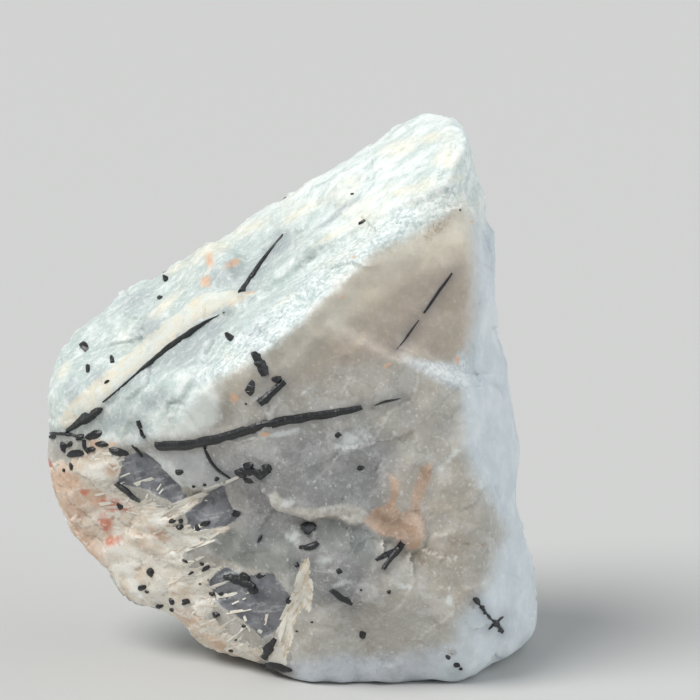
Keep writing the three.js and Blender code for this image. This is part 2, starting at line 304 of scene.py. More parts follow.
broad_sun("sky_window", comes_from=(-0.5, -0.27, 0.83), spread=32, strength=2.45, colour=(1.0, 0.995, 0.98))
broad_sun("right_fill", comes_from=(0.95, -0.14, 0.30), spread=60, strength=1.15, colour=(0.88, 0.95, 1.0))

world = bpy.data.worlds.new("studio")
bpy.context.scene.world = world
world.use_nodes = True
world.node_tree.nodes["Background"].inputs["Color"].default_value = SKY_TINT
world.node_tree.nodes["Background"].inputs["Strength"].default_value = SKY_STRENGTH
bpy.context.scene.view_settings.view_transform = "Standard"

# %% [markdown]
# ## Shapes of broken stone
# `lumps` are smooth swells. `facets` are small tilted flats that meet in edges, as a crystal breaks.
# `ledge` is a drawn step, where one plate of the stone ends above another. `inside_zone` says how deep a
# point lies in a drawn zone. All of them are computed for every vertex at once.

# %% Relief
LATTICE = 64


def lumps(points, size, seed):
    """Smooth swells from about -1 to 1, as many millimetres across as size."""
    table = np.random.default_rng(seed).uniform(-1, 1, (LATTICE,) * 3)
    cell = points / size
    base = np.floor(cell).astype(int)
    part = cell - base
    ease = part * part * (3 - 2 * part)
    total = np.zeros(len(points))
    for corner in itertools.product((0, 1), repeat=3):
        weight = np.where(corner, ease, 1 - ease).prod(axis=1)
        total += weight * table[tuple(((base + corner) % LATTICE).T)]
    return total


def facets(points, size, seed):
    """Tilted flats about size across, from about -1 to 1, with edges where they meet."""
    random = np.random.default_rng(seed)
    centres = random.random((LATTICE,) * 3 + (3,))
    tilts = random.uniform(-1, 1, (LATTICE,) * 3 + (3,))
    heights = random.uniform(-0.5, 0.5, (LATTICE,) * 3)
    cell = points / size
    base = np.floor(cell).astype(int)
    nearest = np.full(len(points), np.inf)
    value = np.zeros(len(points))
    for step in itertools.product((-1, 0, 1), repeat=3):
        index = tuple(((base + step) % LATTICE).T)
        away = cell - (base + step + centres[index])
        distance = (away * away).sum(axis=1)
        closer = distance < nearest
        nearest = np.where(closer, distance, nearest)
        value = np.where(closer, (away * tilts[index]).sum(axis=1) + heights[index], value)
    return value


def along(points, direction, stretch):
    """Points squeezed along a direction, so that any relief on them is drawn out that way."""
    axis = np.array(direction) / np.linalg.norm(direction)
    return points - np.outer(points @ axis * (1 - 1 / stretch), axis)


def soft_step(values, low, high):
    """0 below low, 1 above high, smooth in between."""
    part = np.clip((values - low) / (high - low), 0, 1)
    return part * part * (3 - 2 * part)


def from_line(places, line):
    """Distance from a drawn line in millimetres, and signed: positive on the right of its direction."""
    nearest = np.full(len(places), np.inf)
    side = np.zeros(len(places))
    for start, end in zip(np.array(line[:-1], float), np.array(line[1:], float)):
        run = end - start
        offset = places - start
        part = np.clip(offset @ run / (run @ run), 0, 1)
        distance = np.linalg.norm(offset - np.outer(part, run), axis=1)
        across = (run[0] * offset[:, 1] - run[1] * offset[:, 0]) / np.linalg.norm(run)
        closer = distance < nearest - 1e-6
        nearest = np.where(closer, distance, nearest)
        side = np.where(closer, across, side)
    unit = VIEW_UNIT / MM
    return nearest * unit, side * unit


def beside(away, signed):
    """1 beside a line, falling to 0 past its ends, where the nearest point of it is its end."""
    return np.clip(np.abs(signed) / np.maximum(away, 1e-6), 0, 1) ** 6


def inside_zone(places, corners):
    """How far inside a drawn zone each place is, in millimetres, negative outside it."""
    ring = corners + corners[:1]
    away, _ = from_line(places, ring)
    crossings = np.zeros(len(places), int)
    for (x0, y0), (x1, y1) in zip(ring[:-1], ring[1:]):
        if y0 != y1:
            between = (places[:, 1] < y0) != (places[:, 1] < y1)
            meets = places[:, 0] < x0 + (places[:, 1] - y0) * (x1 - x0) / (y1 - y0)
            crossings += between & meets
    return np.where(crossings % 2 == 1, away, -away)


def spots(places, rows):
    """1 in the middle of a drawn oval and 0 at its rim. Rows: across, down, long, wide and any angle."""
    value = np.full(len(places), -5.0)
    for across, down, long, wide, *angle in rows:
        turn = math.radians(sum(angle))
        x = places[:, 0] - across
        y = down - places[:, 1]
        lengthwise = (x * math.cos(turn) + y * math.sin(turn)) / (long / 2)
        widthwise = (y * math.cos(turn) - x * math.sin(turn)) / (wide / 2)
        value = np.maximum(value, 1 - np.hypot(lengthwise, widthwise))
    return value


def ledge(places, line, depth, fade, lip=0.6, rim=0.05):
    """Height of a step along a line: a fine rim on its left, and on its right a fall that comes back."""
    away, signed = from_line(places, line)
    fall = -depth * np.clip(signed / lip, 0, 1) * np.clip(1 - away / fade, 0, 1) * (signed > 0)
    raised = rim * np.clip(1 - away / (3 * lip), 0, 1) * (signed <= 0)
    return (fall + raised) * beside(away, signed)


# %% [markdown]
# ## The drawing of the stone
# These lines and zones were drawn over the front view. The ridge parts the bright upper slope from
# the grey front face. The lower left corner is a mass of cream feldspar blades, with smooth grey windows
# between them where the glassy stone shows. A step is a line, how deep the stone drops on its right, and
# how far off it is level again, both in millimetres.

# %% Lines and zones
RIDGE = [
    [30, 431], [92, 438], [137, 444], [160, 432], [175, 425], [190, 405], [205, 388], [237, 368],
    [270, 346], [298, 322], [329, 291], [345, 275], [372, 254], [392, 243], [410, 236], [430, 224],
    [442, 218], [450, 206], [462, 204], [476, 214], [500, 190], [560, 160],
]
CREASE = [
    [560, 150], [462, 182], [400, 206], [355, 226], [300, 262], [258, 292], [228, 309], [200, 325],
    [150, 364], [103, 402], [78, 430],
]
PLATE_EDGE = [
    [250, 478], [262, 490], [270, 497], [273, 506], [281, 511], [300, 517], [309, 522], [318, 518],
    [337, 517], [350, 524], [364, 523], [371, 528], [384, 537], [392, 536], [401, 541], [410, 551],
    [420, 549], [424, 538], [421, 525], [411, 512],
]
WINDOW_EDGE = [
    [136, 446], [148, 455], [161, 466], [176, 481], [190, 491], [205, 494], [222, 487], [240, 479],
]
SHELF_CREST = [
    [396, 356], [408, 362], [424, 373], [440, 382], [455, 389], [468, 388], [490, 384],
]
CREAM_CORNER = [
    [30, 466], [52, 466], [65, 462], [78, 455], [92, 440], [108, 443], [113, 452], [121, 470], [117, 484],
    [130, 497], [148, 503], [172, 508], [204, 494], [188, 510], [176, 518], [171, 527], [186, 527],
    [196, 533], [228, 527], [212, 539], [180, 552], [188, 566], [224, 568], [206, 582], [214, 598],
    [206, 618], [234, 640], [262, 652], [262, 700], [120, 700], [20, 600],
]
FLANK = [
    [464, 120], [468, 150], [470, 196], [477, 214], [480, 260], [480, 300], [475, 340], [470, 372],
    [467, 400], [469, 440], [475, 462], [484, 480], [495, 496], [503, 512], [511, 534], [504, 552],
    [496, 578], [489, 592], [470, 610], [462, 623], [462, 642], [452, 655], [444, 664], [430, 700],
    [600, 700], [600, 120],
]
WINDOWS = [
    [
        [121, 462], [129, 454], [148, 455], [160, 466], [176, 482], [185, 497], [176, 504], [162, 498],
        [149, 490], [118, 484]],
    [
        [184, 514], [206, 496], [220, 489], [226, 499], [232, 509], [242, 513], [228, 526], [197, 531],
        [187, 524]],
    [
        [206, 580], [226, 567], [242, 576], [272, 572], [292, 598], [284, 626], [262, 638], [248, 624],
        [230, 612], [214, 600]],
]
DULL_WINDOWS = [
    [
        [204, 540], [232, 528], [262, 526], [292, 540], [302, 556], [296, 572], [270, 572], [242, 568],
        [216, 556]],
    [
        [319, 520], [338, 518], [352, 525], [368, 526], [378, 538], [378, 550], [370, 572], [352, 556],
        [326, 548], [316, 534]],
]
ZONES = {
    "peach_plate": [
        [386, 465], [391, 473], [400, 483], [398, 494], [396, 507], [404, 513], [411, 507], [411, 494],
        [416, 480], [421, 466], [433, 461], [431, 478], [423, 496], [420, 510], [425, 526], [425, 539],
        [419, 550], [409, 551], [399, 541], [391, 536], [383, 537], [369, 528], [363, 522], [372, 508],
        [386, 506], [392, 494]],
    "band": [
        [255, 293], [236, 291], [206, 294], [190, 304], [170, 320], [142, 342], [116, 364], [90, 382],
        [72, 402], [58, 422], [68, 430], [100, 406], [118, 386], [150, 360], [176, 338], [200, 322],
        [226, 307]],
    "vein": [
        [306, 553], [297, 574], [294, 590], [289, 606], [279, 625], [271, 645], [268, 664], [286, 664],
        [291, 642], [297, 616], [303, 609], [309, 612], [313, 600], [312, 580], [309, 560]],
    "panel": [
        [462, 206], [474, 216], [478, 250], [480, 300], [474, 340], [455, 360], [412, 360], [386, 356],
        [340, 366], [300, 384], [258, 392], [225, 404], [222, 384], [240, 366], [272, 344], [300, 320],
        [346, 274], [394, 242]],
    "heart": [
        [150, 452], [205, 450], [262, 434], [330, 422], [376, 424], [398, 452], [392, 500], [372, 560],
        [376, 596], [340, 612], [300, 600], [262, 560], [232, 540], [236, 500], [190, 480]],
    "foot": [
        [290, 662], [336, 652], [380, 656], [420, 648], [462, 640], [462, 700], [290, 700]],
    "lobe": [
        [150, 441], [146, 420], [160, 396], [188, 380], [210, 384], [222, 400], [218, 424], [196, 436]],
    "shelf": [
        [398, 351], [410, 361], [430, 362], [452, 361], [459, 350], [466, 354], [471, 372], [468, 390],
        [455, 391], [440, 384], [424, 375], [408, 364]],
    "plate_rim": [
        [268, 494], [276, 490], [290, 504], [306, 508], [330, 506], [345, 503], [366, 508], [371, 518],
        [362, 522], [350, 524], [336, 516], [318, 517], [309, 521], [296, 515], [278, 510], [270, 504]],
    "ice": [
        [40, 436], [40, 350], [90, 310], [150, 262], [215, 226], [290, 205], [350, 240], [344, 262],
        [300, 304], [262, 342], [214, 376], [184, 376], [150, 404], [140, 436], [92, 436]],
    "notch": [
        [140, 447], [160, 451], [204, 450], [216, 468], [234, 478], [222, 487], [205, 494], [190, 491],
        [176, 481], [161, 466], [148, 455]],
}
STEPS = [
    (PLATE_EDGE, 1.0, 6),
    (WINDOW_EDGE, 0.8, 4),
    (CREASE[::-1], 0.45, 4),
    ([[255, 293], [236, 291], [206, 294], [190, 304], [170, 320]], 0.5, 3),
    ([[450, 527], [447, 534], [438, 539], [428, 541], [421, 554]], 0.3, 4),
    ([[378, 560], [372, 576], [358, 588], [352, 602], [362, 618]], 0.35, 5),
    ([[226, 488], [227, 500], [233, 509], [246, 513], [262, 510]], 0.45, 4),
    ([[310, 604], [330, 590], [344, 580], [352, 566]], 0.3, 5),
    ([[204, 494], [186, 506], [172, 520]], 0.5, 3),
]

# %% [markdown]
# ## Stains and patches
# Each row is one oval: across, down, long, wide, and its angle where it is turned. The finish roughens
# their rims with noise.

# %% Ovals of colour
SPOTS = {
    # The narrow white oval at 306, 391 is a painted glint.
    "white": [
        [292, 536, 18, 20], [328, 561, 26, 16], [285, 433, 60, 8, 12], [266, 411, 10, 15],
        [340, 584, 34, 8, 12], [448, 602, 15, 14], [404, 513, 9, 5, 30], [306, 391, 20, 5, 34],
        [256, 398, 16, 7, 30], [404, 586, 26, 7, -8], [286, 502, 22, 12, -10], [214, 540, 26, 7, -20],
        [395, 433, 8, 8], [228, 574, 30, 6, 20], [170, 470, 70, 16, -42], [205, 610, 26, 16, -30],
        [352, 440, 50, 30, 20], [452, 456, 24, 10, 60], [440, 470, 14, 10], [150, 455, 22, 6, -40],
        [168, 472, 34, 7, -44], [188, 488, 26, 7, -22], [214, 487, 30, 6, 18]],
    "cream": [
        [400, 148, 52, 18, 25], [430, 137, 30, 14, 20], [446, 158, 34, 26], [402, 192, 30, 10, 25],
        [424, 186, 40, 16, 20], [362, 218, 30, 12, 30], [334, 258, 54, 13, 32], [212, 250, 50, 20, 25],
        [250, 228, 54, 15, 25], [300, 213, 56, 14, 28], [176, 268, 30, 12, 30], [64, 372, 26, 14, 60],
        [150, 449, 16, 8], [286, 300, 30, 9, 34], [330, 236, 50, 9, 32], [228, 356, 16, 14],
        [130, 372, 26, 12, 40], [337, 670, 16, 10, 20], [456, 178, 18, 10], [392, 470, 26, 12],
        [96, 442, 24, 9, -10], [165, 306, 50, 10, 40]],
    "orange": [
        [211, 262, 12, 20], [233, 264, 24, 10, 30], [206, 282, 16, 16], [386, 366, 16, 5, 36],
        [457, 360, 7, 12], [234, 398, 12, 15], [265, 434, 14, 6, 10], [471, 222, 7, 5], [355, 258, 8, 5],
        [250, 292, 14, 5, 10], [112, 444, 12, 5], [342, 297, 7, 4, 30]],
    "peach": [
        [355, 566, 13, 20], [354, 592, 14, 14, 30], [92, 443, 22, 10, -20], [66, 480, 40, 22, -30],
        [96, 500, 34, 20, -20], [186, 618, 30, 12, -30], [160, 535, 30, 12, -30], [78, 512, 26, 16, -40],
        [220, 646, 36, 10, -35], [112, 470, 20, 14], [386, 514, 34, 16, -10], [420, 470, 22, 8, 60],
        [66, 510, 46, 50, -60], [84, 548, 60, 40, -50], [56, 484, 30, 40]],
    "red": [
        [112, 506, 30, 20, -20], [125, 508, 16, 10], [106, 523, 22, 26, 20], [112, 541, 24, 14, 20],
        [51, 463, 5, 10], [84, 492, 16, 8, -20]],
    "grey": [
        [230, 273, 52, 24, 25], [150, 330, 44, 26, 40], [138, 302, 44, 22, 40], [98, 376, 30, 20, 50],
        [186, 352, 56, 30, 36], [212, 330, 40, 16, 36], [108, 424, 46, 16, 34], [262, 386, 15, 20],
        [338, 212, 80, 7, 37], [456, 673, 24, 22], [283, 370, 16, 7, 10], [188, 461, 26, 20, -30],
        [62, 448, 20, 22], [280, 246, 40, 12, 30], [255, 330, 40, 12, 36], [152, 400, 34, 22, 40],
        [72, 392, 20, 30]],
    "brown": [
        [438, 227, 46, 18, 34], [472, 605, 16, 9, -25], [452, 652, 12, 11], [443, 593, 6, 10, 20],
        [418, 557, 22, 8, -50], [384, 402, 34, 5, 12], [372, 408, 12, 9], [467, 544, 10, 8],
        [484, 544, 12, 8]],
    "tan": [
        [404, 500, 70, 100], [440, 530, 90, 110], [470, 600, 40, 60], [330, 520, 90, 26, -4],
        [424, 552, 26, 34], [440, 300, 90, 60, 30], [382, 300, 60, 80]],
}

# %% [markdown]
# ## The crystals in the drawing
# Each crystal is its middle line, a row for each point: across, down, and half the crystal's thickness
# there in millimetres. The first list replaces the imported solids; the second is thin tails and splinters
# that have no solid.

# %% Middle lines of the crystals
CRYSTALS = {
    "front_rod": [
        [158, 446, 0.7], [174, 446, 0.76], [196, 444, 0.72], [214, 440, 0.76], [235, 434, 0.72],
        [265, 424, 0.72], [297, 419, 0.68], [333, 413, 0.6], [350, 410, 0.52], [362, 407, 0.34]],
    "front_branch": [
        [205, 448, 0.22], [207, 455, 0.26], [211, 462, 0.27], [219, 471, 0.24], [230, 478, 0.2]],
    "crease_rod": [
        [103, 402, 0.13], [120, 388, 0.16], [137, 373, 0.19], [147, 365, 0.34], [158, 356, 0.54],
        [170, 347, 0.62], [183, 337, 0.58], [192, 331, 0.5], [199, 326, 0.36], [213, 318, 0.13],
        [228, 310, 0.08]],
    "left_lens": [
        [67, 431, 0.3], [76, 426, 0.7], [85, 420, 0.95], [94, 414, 0.8], [102, 408, 0.25]],
    "upper_rod": [
        [283, 234, 0.13], [276, 243, 0.2], [268, 254, 0.28], [258, 267, 0.38], [250, 279, 0.46],
        [241, 292, 0.52]],
    "right_needle": [
        [452, 273, 0.15], [445, 283, 0.2], [438, 292, 0.21], [431, 303, 0.19], [424, 313, 0.15]],
    "ridge_chunk": [
        [254, 353, 0.5], [257, 358, 0.85], [260, 363, 0.72], [262, 369, 1.0], [265, 376, 0.6]],
    "short_prism": [
        [260, 403, 0.6], [266, 398, 0.74], [273, 392, 0.74], [279, 386, 0.7], [284, 380, 0.55]],
    "middle_cluster": [
        [237, 474, 0.7], [244, 472, 1.3], [252, 471, 1.4], [260, 474, 1.2], [269, 470, 0.7]],
    "forked_rod": [
        [403, 543, 0.5], [398, 550, 0.62], [393, 556, 0.58], [388, 562, 0.5], [383, 569, 0.36]],
    "dark_cluster": [
        [230, 578, 0.5], [238, 580, 0.85], [246, 583, 0.8], [256, 588, 0.5]],
    "foot_lens": [
        [262, 664, 0.25], [270, 666, 0.7], [278, 668, 0.8], [286, 669, 0.6], [292, 670, 0.2]],
    "lower_rod": [
        [474, 598, 0.3], [477, 602, 0.4], [480, 605, 0.03], [483, 609, 0.34], [486, 613, 0.03],
        [489, 617, 0.3], [492, 620, 0.03], [496, 623, 0.6], [499, 627, 0.2], [502, 631, 0.3]],
    "corner_rod": [
        [116, 483, 0.5], [121, 487, 0.62], [127, 492, 0.6], [133, 497, 0.5], [139, 500, 0.3]],
}
SPLINTERS = [
    [[419, 320, 0.1], [411, 331, 0.17], [404, 341, 0.15], [397, 349, 0.08]],
    [[374, 406, 0.07], [383, 402, 0.2], [393, 400, 0.17], [403, 398, 0.05]],
    [[399, 549, 0.4], [390, 553, 0.5], [383, 556, 0.42], [376, 560, 0.26]],
    [[132, 445, 0.2], [137, 450, 0.32], [142, 456, 0.2]],
    [[138, 420, 0.4], [139, 424, 0.55], [141, 428, 0.4]],
    [[141, 430, 0.35], [142, 434, 0.5], [145, 438, 0.4]],
    [[50, 433, 0.16], [62, 434, 0.32], [74, 435, 0.3], [84, 440, 0.3]],
    [[84, 440, 0.3], [84, 447, 0.42], [89, 453, 0.3]],
    [[331, 590, 0.3], [339, 596, 0.62], [345, 600, 0.66], [352, 604, 0.3]],
    [[275, 639, 0.3], [270, 646, 0.8], [267, 652, 1.0], [264, 659, 0.5]],
    [[489, 629, 0.16], [496, 622, 0.42], [503, 617, 0.16]],
    [[262, 535, 0.14], [260, 538, 0.26], [258, 542, 0.14]],
]

# %% [markdown]
# ## The stone's mesh
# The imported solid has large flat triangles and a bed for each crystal. A copy of it is merged, joined with
# slightly swollen copies of the crystals, and remeshed in small even faces, which closes the beds. Then it
# is smoothed, and the fine breaks are pressed into it.


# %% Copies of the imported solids
def cad_copy(node, name):
    """A separate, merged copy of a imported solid."""
    piece = placed(name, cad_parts[node].data.copy())
    mesh = bmesh.new()
    mesh.from_mesh(piece.data)
    bmesh.ops.remove_doubles(mesh, verts=mesh.verts, dist=0.001 * MM)
    mesh.to_mesh(piece.data)
    mesh.free()
    piece.data.materials.clear()
    return piece


def only(piece):
    """Makes a piece the only selected one, and the active one."""
    bpy.ops.object.select_all(action="DESELECT")
    piece.select_set(True)
    bpy.context.view_layer.objects.active = piece


def joined(pieces, name):
    """All the pieces as one."""
    only(pieces[0])
    for piece in pieces:
        piece.select_set(True)
    bpy.ops.object.join()
    pieces[0].name = name
    return pieces[0]


def finish_modifier(piece, kind, **settings):
    """Adds a modifier and applies it."""
    only(piece)
    modifier = piece.modifiers.new(kind.lower(), kind)
    for name, value in settings.items():
        setattr(modifier, name, value)
    bpy.ops.object.modifier_apply(modifier=modifier.name)


def read_rows(collection, name, width):
    """A property of all the vertices, or edges, as rows of numbers."""
    kind = int if name == "vertices" else float
    values = np.empty(len(collection) * width, kind)
    collection.foreach_get(name, values)
    return values.reshape(-1, width)


def points_of(piece):
    """The piece's vertices in millimetres, one row each."""
    return read_rows(piece.data.vertices, "co", 3) / MM


def set_points(piece, points):
    piece.data.vertices.foreach_set("co", (points * MM).ravel())
    piece.data.update()


def keep(piece, name, values):
    """Keeps a number at each vertex, for the finish to read."""
    attribute = piece.data.attributes.new(name, "FLOAT", "POINT")
    attribute.data.foreach_set("value", values.astype(np.float32))


# %% One even skin over stone and crystal beds
CRYSTAL_NODES = sorted(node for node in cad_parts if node.startswith("tourmaline"))
BED_SWELL = 0.16 * MM
SKIN_SIZE = 0.487 * MM
SMOOTH_FACTOR = 0.5
FIRST_SMOOTHING = 6


def remeshed_stone():
    skin = cad_copy("moonstone", "moonstone_body")
    fillers = [cad_copy(node, "filler_" + node) for node in CRYSTAL_NODES]
    for filler in fillers:
        finish_modifier(filler, "DISPLACE", strength=BED_SWELL, mid_level=0)
    joined([skin] + fillers, "moonstone_body")
    finish_modifier(skin, "REMESH", mode="VOXEL", voxel_size=SKIN_SIZE)
    finish_modifier(skin, "SMOOTH", factor=SMOOTH_FACTOR, iterations=FIRST_SMOOTHING)
    return skin


stone = remeshed_stone()
print("stone vertices:", len(stone.data.vertices))

# %% [markdown]
# ## Beds smoothed over
# Where a crystal filled its bed, the skin still has the crystal's hump. Those vertices are weighted by how
# near they lie to a crystal, and smoothed many times, so the skin runs flat under each crystal.

# %% Flatten the humps
BED_REACH = 0.9 * MM
BED_SMOOTHING = 60


def tree_of(mesh):
    """The mesh's faces, to find the nearest one or the one on a line."""
    faces = [tuple(face.vertices) for face in mesh.polygons]
    return BVHTree.FromPolygons([v.co.copy() for v in mesh.vertices], faces)


def flatten_beds(piece):
    group = piece.vertex_groups.new(name="beds")
    trees = [tree_of(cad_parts[node].data) for node in CRYSTAL_NODES]
    near = [v.index for v in piece.data.vertices
            if any(tree.find_nearest(v.co, BED_REACH)[0] is not None for tree in trees)]
    group.add(near, 1.0, "REPLACE")
    finish_modifier(piece, "SMOOTH", factor=SMOOTH_FACTOR, iterations=BED_SMOOTHING, vertex_group="beds")
    piece.vertex_groups.clear()
    print("vertices near a crystal:", len(near))


flatten_beds(stone)

# %% [markdown]
# ## Where each vertex lies
# The zones are measured once, before the surface moves. On the faces that turn away from the eye, where
# the drawing doesn't reach, swells take over from the zones, so the same kinds of stone go on behind.

# %% Zones at the vertices
FRONT_LIMIT = (-0.06, 0.12)
CRUSH_MIDDLE = 1.8
CRUSH_WIDTH = 3.0
CRUSH_STARTS = (150, 260)
CRUSH_ENDS = (452, 466)

body = points_of(stone)
seen = places_seen(body)
toward_eye = -read_rows(stone.data.vertices, "normal", 3) @ np.array(view_away)
in_front = soft_step(toward_eye, *FRONT_LIMIT)


def carried_round(values, size, seed, spread, middle):
    """The drawn values in front, and swells about middle behind."""
    return in_front * values + (1 - in_front) * (lumps(body, size, seed) * spread + middle)


def deepest(zones):
    """How far inside any of some zones each vertex lies."""
    return np.max([inside_zone(seen, zone) for zone in zones], axis=0)


ridge_side = carried_round(-from_line(seen, RIDGE)[1], 9, 51, 5, 2)
blades_depth = carried_round(inside_zone(seen, CREAM_CORNER), 10, 53, 7, -3.2)
window_depth = carried_round(deepest(WINDOWS), 6, 54, 4, -3.6)
dull_depth = carried_round(deepest(DULL_WINDOWS), 8, 56, 4, -3.9)
flank_depth = carried_round(inside_zone(seen, FLANK), 16, 55, 3, 2)
on_slope = soft_step(ridge_side, -0.5, 1.5)


def crushed():
    """1 in the crushed band along the ridge and on the shelf's bright facet."""
    band = np.exp(-((ridge_side - CRUSH_MIDDLE) / CRUSH_WIDTH) ** 2) * soft_step(seen[:, 0], *CRUSH_STARTS)
    band *= 1 - soft_step(seen[:, 0], *CRUSH_ENDS)
    return np.maximum(band, soft_step(inside_zone(seen, ZONES["shelf"]), -0.5, 1)) * in_front


crush = crushed()

# %% [markdown]
# ## Fine breaks
# The slope above the ridge is drawn out along the ridge, the corner of blades along the blades, and the
# ridge itself is crushed into small facets. The front face stays smooth between its ledges.

# %% Relief of the stone
SLOPE_RUN = (0.82, 0.2, 0.53)
BLADE_RUN = (0.93, -0.25, 0.25)
VEIN_RUN = (0.35, 0, 0.94)
SHELF_REACH = 3.4
SHELF_LIP = 1.3
SHELF_DEPTH = 1.7
SHELF_FADE = 12
WINDOW_DEPTH = 0.3


def slope_relief():
    streaked = along(body, SLOPE_RUN, 3)
    height = facets(streaked, 3.8, 4) * 0.08 + facets(body, 2.6, 3) * 0.06 + facets(body, 9, 12) * 0.4
    return height * on_slope + crush * (facets(body, 1.6, 5) * 0.05 + facets(body, 3.1, 13) * 0.12)


def blade_relief():
    bladed = soft_step(blades_depth, -0.2, 0.8)
    fibres = facets(along(body, BLADE_RUN, 5), 1.1, 6) * 0.13
    return bladed * (fibres + lumps(body, 2.4, 7) * 0.12 + facets(body, 4.5, 14) * 0.24)


def shelf_relief():
    """The bright facet above the shelf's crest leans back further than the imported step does."""
    away, signed = from_line(seen, SHELF_CREST)
    lean = np.clip(-signed / SHELF_REACH, 0, 1) - np.clip(-signed / SHELF_LIP, 0, 1)
    return -SHELF_DEPTH * lean * np.clip(1 - away / SHELF_FADE, 0, 1) * (signed < 0) * beside(away, signed)


def stone_relief():
    """How far out each vertex moves, in millimetres."""
    broken = 1 - 0.85 * soft_step(inside_zone(seen, ZONES["panel"]), -1, 4) * in_front
    height = facets(body, 8, 1) * 0.30 * broken + facets(body, 3.6, 2) * 0.07 * broken
    height += slope_relief() + blade_relief()
    height += (1 - in_front) * (facets(body, 4.5, 8) * 0.4 + facets(body, 2.0, 9) * 0.15)
    height -= soft_step(window_depth, 0, 0.5) * WINDOW_DEPTH
    steps = shelf_relief() + sum(ledge(seen, *step) for step in STEPS)
    return height + steps * in_front


FOOT_FADE = (0.3, 2.5)
relief = stone_relief() * soft_step(body[:, 2], *FOOT_FADE)
body = body + read_rows(stone.data.vertices, "normal", 3) * relief[:, None]
body[:, 2] = np.maximum(body[:, 2], 0)
low, high = (np.array(corner) / MM for corner in cad_box)
body = np.clip(body, low, high)
set_points(stone, body)
print("relief in millimetres:", round(relief.min(), 2), "to", round(relief.max(), 2))

# %% [markdown]
# ## Numbers for the finish
# Each zone's depth is kept on the mesh as a number at every vertex. The finish adds fine noise to such
# a number before it asks whether it is above nought, so a zone's edge is as ragged as the real one and
# far finer than the mesh. `edge` says how sharply the surface turns: sharp edges are painted white, partly
# as chipped stone and partly as painted highlight, and hollows are darkened with painted shade.

# %% Measures at the vertices
CRYSTAL_SHADE_REACH = 1.3
ZONE_BEHIND = -5
SPOT_BEHIND = -2


def turned_edges(piece, points):
    """How far each vertex stands out of its neighbours' middle, in hundredths of a millimetre."""
    pairs = read_rows(piece.data.edges, "vertices", 2)
    total = np.zeros_like(points)
    count = np.zeros(len(points))
    for one, other in ((0, 1), (1, 0)):
        np.add.at(total, pairs[:, one], points[pairs[:, other]])
        np.add.at(count, pairs[:, one], 1)
    out = points - total / count[:, None]
    return (out * read_rows(piece.data.vertices, "normal", 3)).sum(axis=1) * 100


def painted_shade_near_crystals():
    """1 beside a crystal, where painted shade stands for its shadow in the milky stone, and 0 well away from
    it.
    """
    lines = [[row[:2] for row in rows] for rows in [*CRYSTALS.values(), *SPLINTERS]]
    away = np.min([from_line(seen, line)[0] for line in lines], axis=0)
    return np.exp(-(away / CRYSTAL_SHADE_REACH) ** 2) * in_front


measures = {
    "edge": turned_edges(stone, body), "ridge_side": ridge_side, "blades": blades_depth,
    "windows": window_depth, "dull_windows": dull_depth, "flank": flank_depth, "crush": crush,
    "painted_crystal_shade": painted_shade_near_crystals(),
}
for name, corners in ZONES.items():
    measures[name] = in_front * inside_zone(seen, corners) + (1 - in_front) * ZONE_BEHIND
for name, rows in SPOTS.items():
    measures[name] = in_front * spots(seen, rows) + (1 - in_front) * SPOT_BEHIND
for name, values in measures.items():
    keep(stone, name, values)
print("measures for the finish:", ", ".join(measures))

# %% [markdown]
# ## The moonstone's finish
# Feldspar is milky: light goes in, scatters and comes out nearby, so the shader has some subsurface. Its
# colour is a soft cloud of blue white, grey and cream. Where it was crushed, each grain turns its own way,
# so there the normal is tipped a little, grain by grain, and the surface glitters like sugar.


# %% Patterns of the stone
class StoneFinish(Finish):
    """The stone's finish, with the patterns and masks that its kinds of stone share."""

    def __init__(self):
        super().__init__("moonstone_broken")
        self.cloud = self.noise(13)
        self.veil = self.noise(6.5, 4.0, 0.6)
        self.mottle = self.noise(3.2, 4.0, 0.6)
        self.clump = self.noise(1.2, 4.0, 0.7)
        self.ragged = self.noise(1.5, 4.0, 0.65) - 0.5
        self.fleck = self.noise(0.55, 3.0, 0.7)
        self.powder = self.noise(0.35, 3.0, 0.7)
        self.shred = self.noise(0.9, 4.0, 0.7, self.drawn_out(SLOPE_RUN, 2.2))
        self.feather = self.noise(1.0, 4.0, 0.65, self.drawn_out(BLADE_RUN, 5))
        self.flake = self.grains(3.0)
        self.grain = self.grains(0.45)
        self.chip = self.part_along(self.flake, (0, 1, 0))
        self.sugar = self.part_along(self.grain, (1, 0, 0))
        self.crush = self.measured("crush").over(0.1, 0.8)
        self.bladed = self.measured("blades").over(-0.3, 0.6)
        self.on_slope = self.measured("ridge_side").over(-0.5, 1.0)
        self.panel = self.zone("panel", 1.5, -2.0, 1.6)
        self.window = self.zone("windows", 0.9, -0.06, 0.14)
        self.calm = 1 - self.panel * 0.6
        # white specks painted as glints; the roughness is lower there too
        self.glint_specks = self.sugar.over(0.88, 0.94) * self.fleck.over(0.48, 0.60) * (1 - self.window)

    def zone(self, name, roughen, low, high):
        """The mask of a measured zone, with its edge made ragged."""
        return (self.measured(name) + self.ragged * roughen).over(low, high)

    def pores(self, low, high):
        """A mask of fine dark pores."""
        return (1 - self.powder.over(low, high)) * 0.3


# %% The front face
def warm_panel(f):
    """Smooth and beige, palest just under the ridge and greyer to the left."""
    below_ridge = 0 - f.measured("ridge_side") + f.cloud * 3 - 1.5
    leftward = f.part_along(f.where, (-1 / MM, 0, 0))
    return f.coats(
        f.mix(below_ridge.over(0.3, 8.0), (234, 228, 211), (214, 203, 185)),
        (below_ridge.over(5.0, 9.5), (192, 179, 164)),
        (leftward.over(-6.0, 24.0) * 0.62, (130, 124, 116)),
        (f.mottle.over(0.42, 0.62) * 0.2, (188, 172, 150)),
        (f.clump.over(0.52, 0.70) * 0.25, (232, 222, 200)))


def pale_flank(f):
    return f.coats(
        f.mix(f.veil.over(0.35, 0.65), (206, 215, 219), (222, 228, 231)),
        (f.mottle.over(0.50, 0.68) * 0.4, (233, 238, 238)))


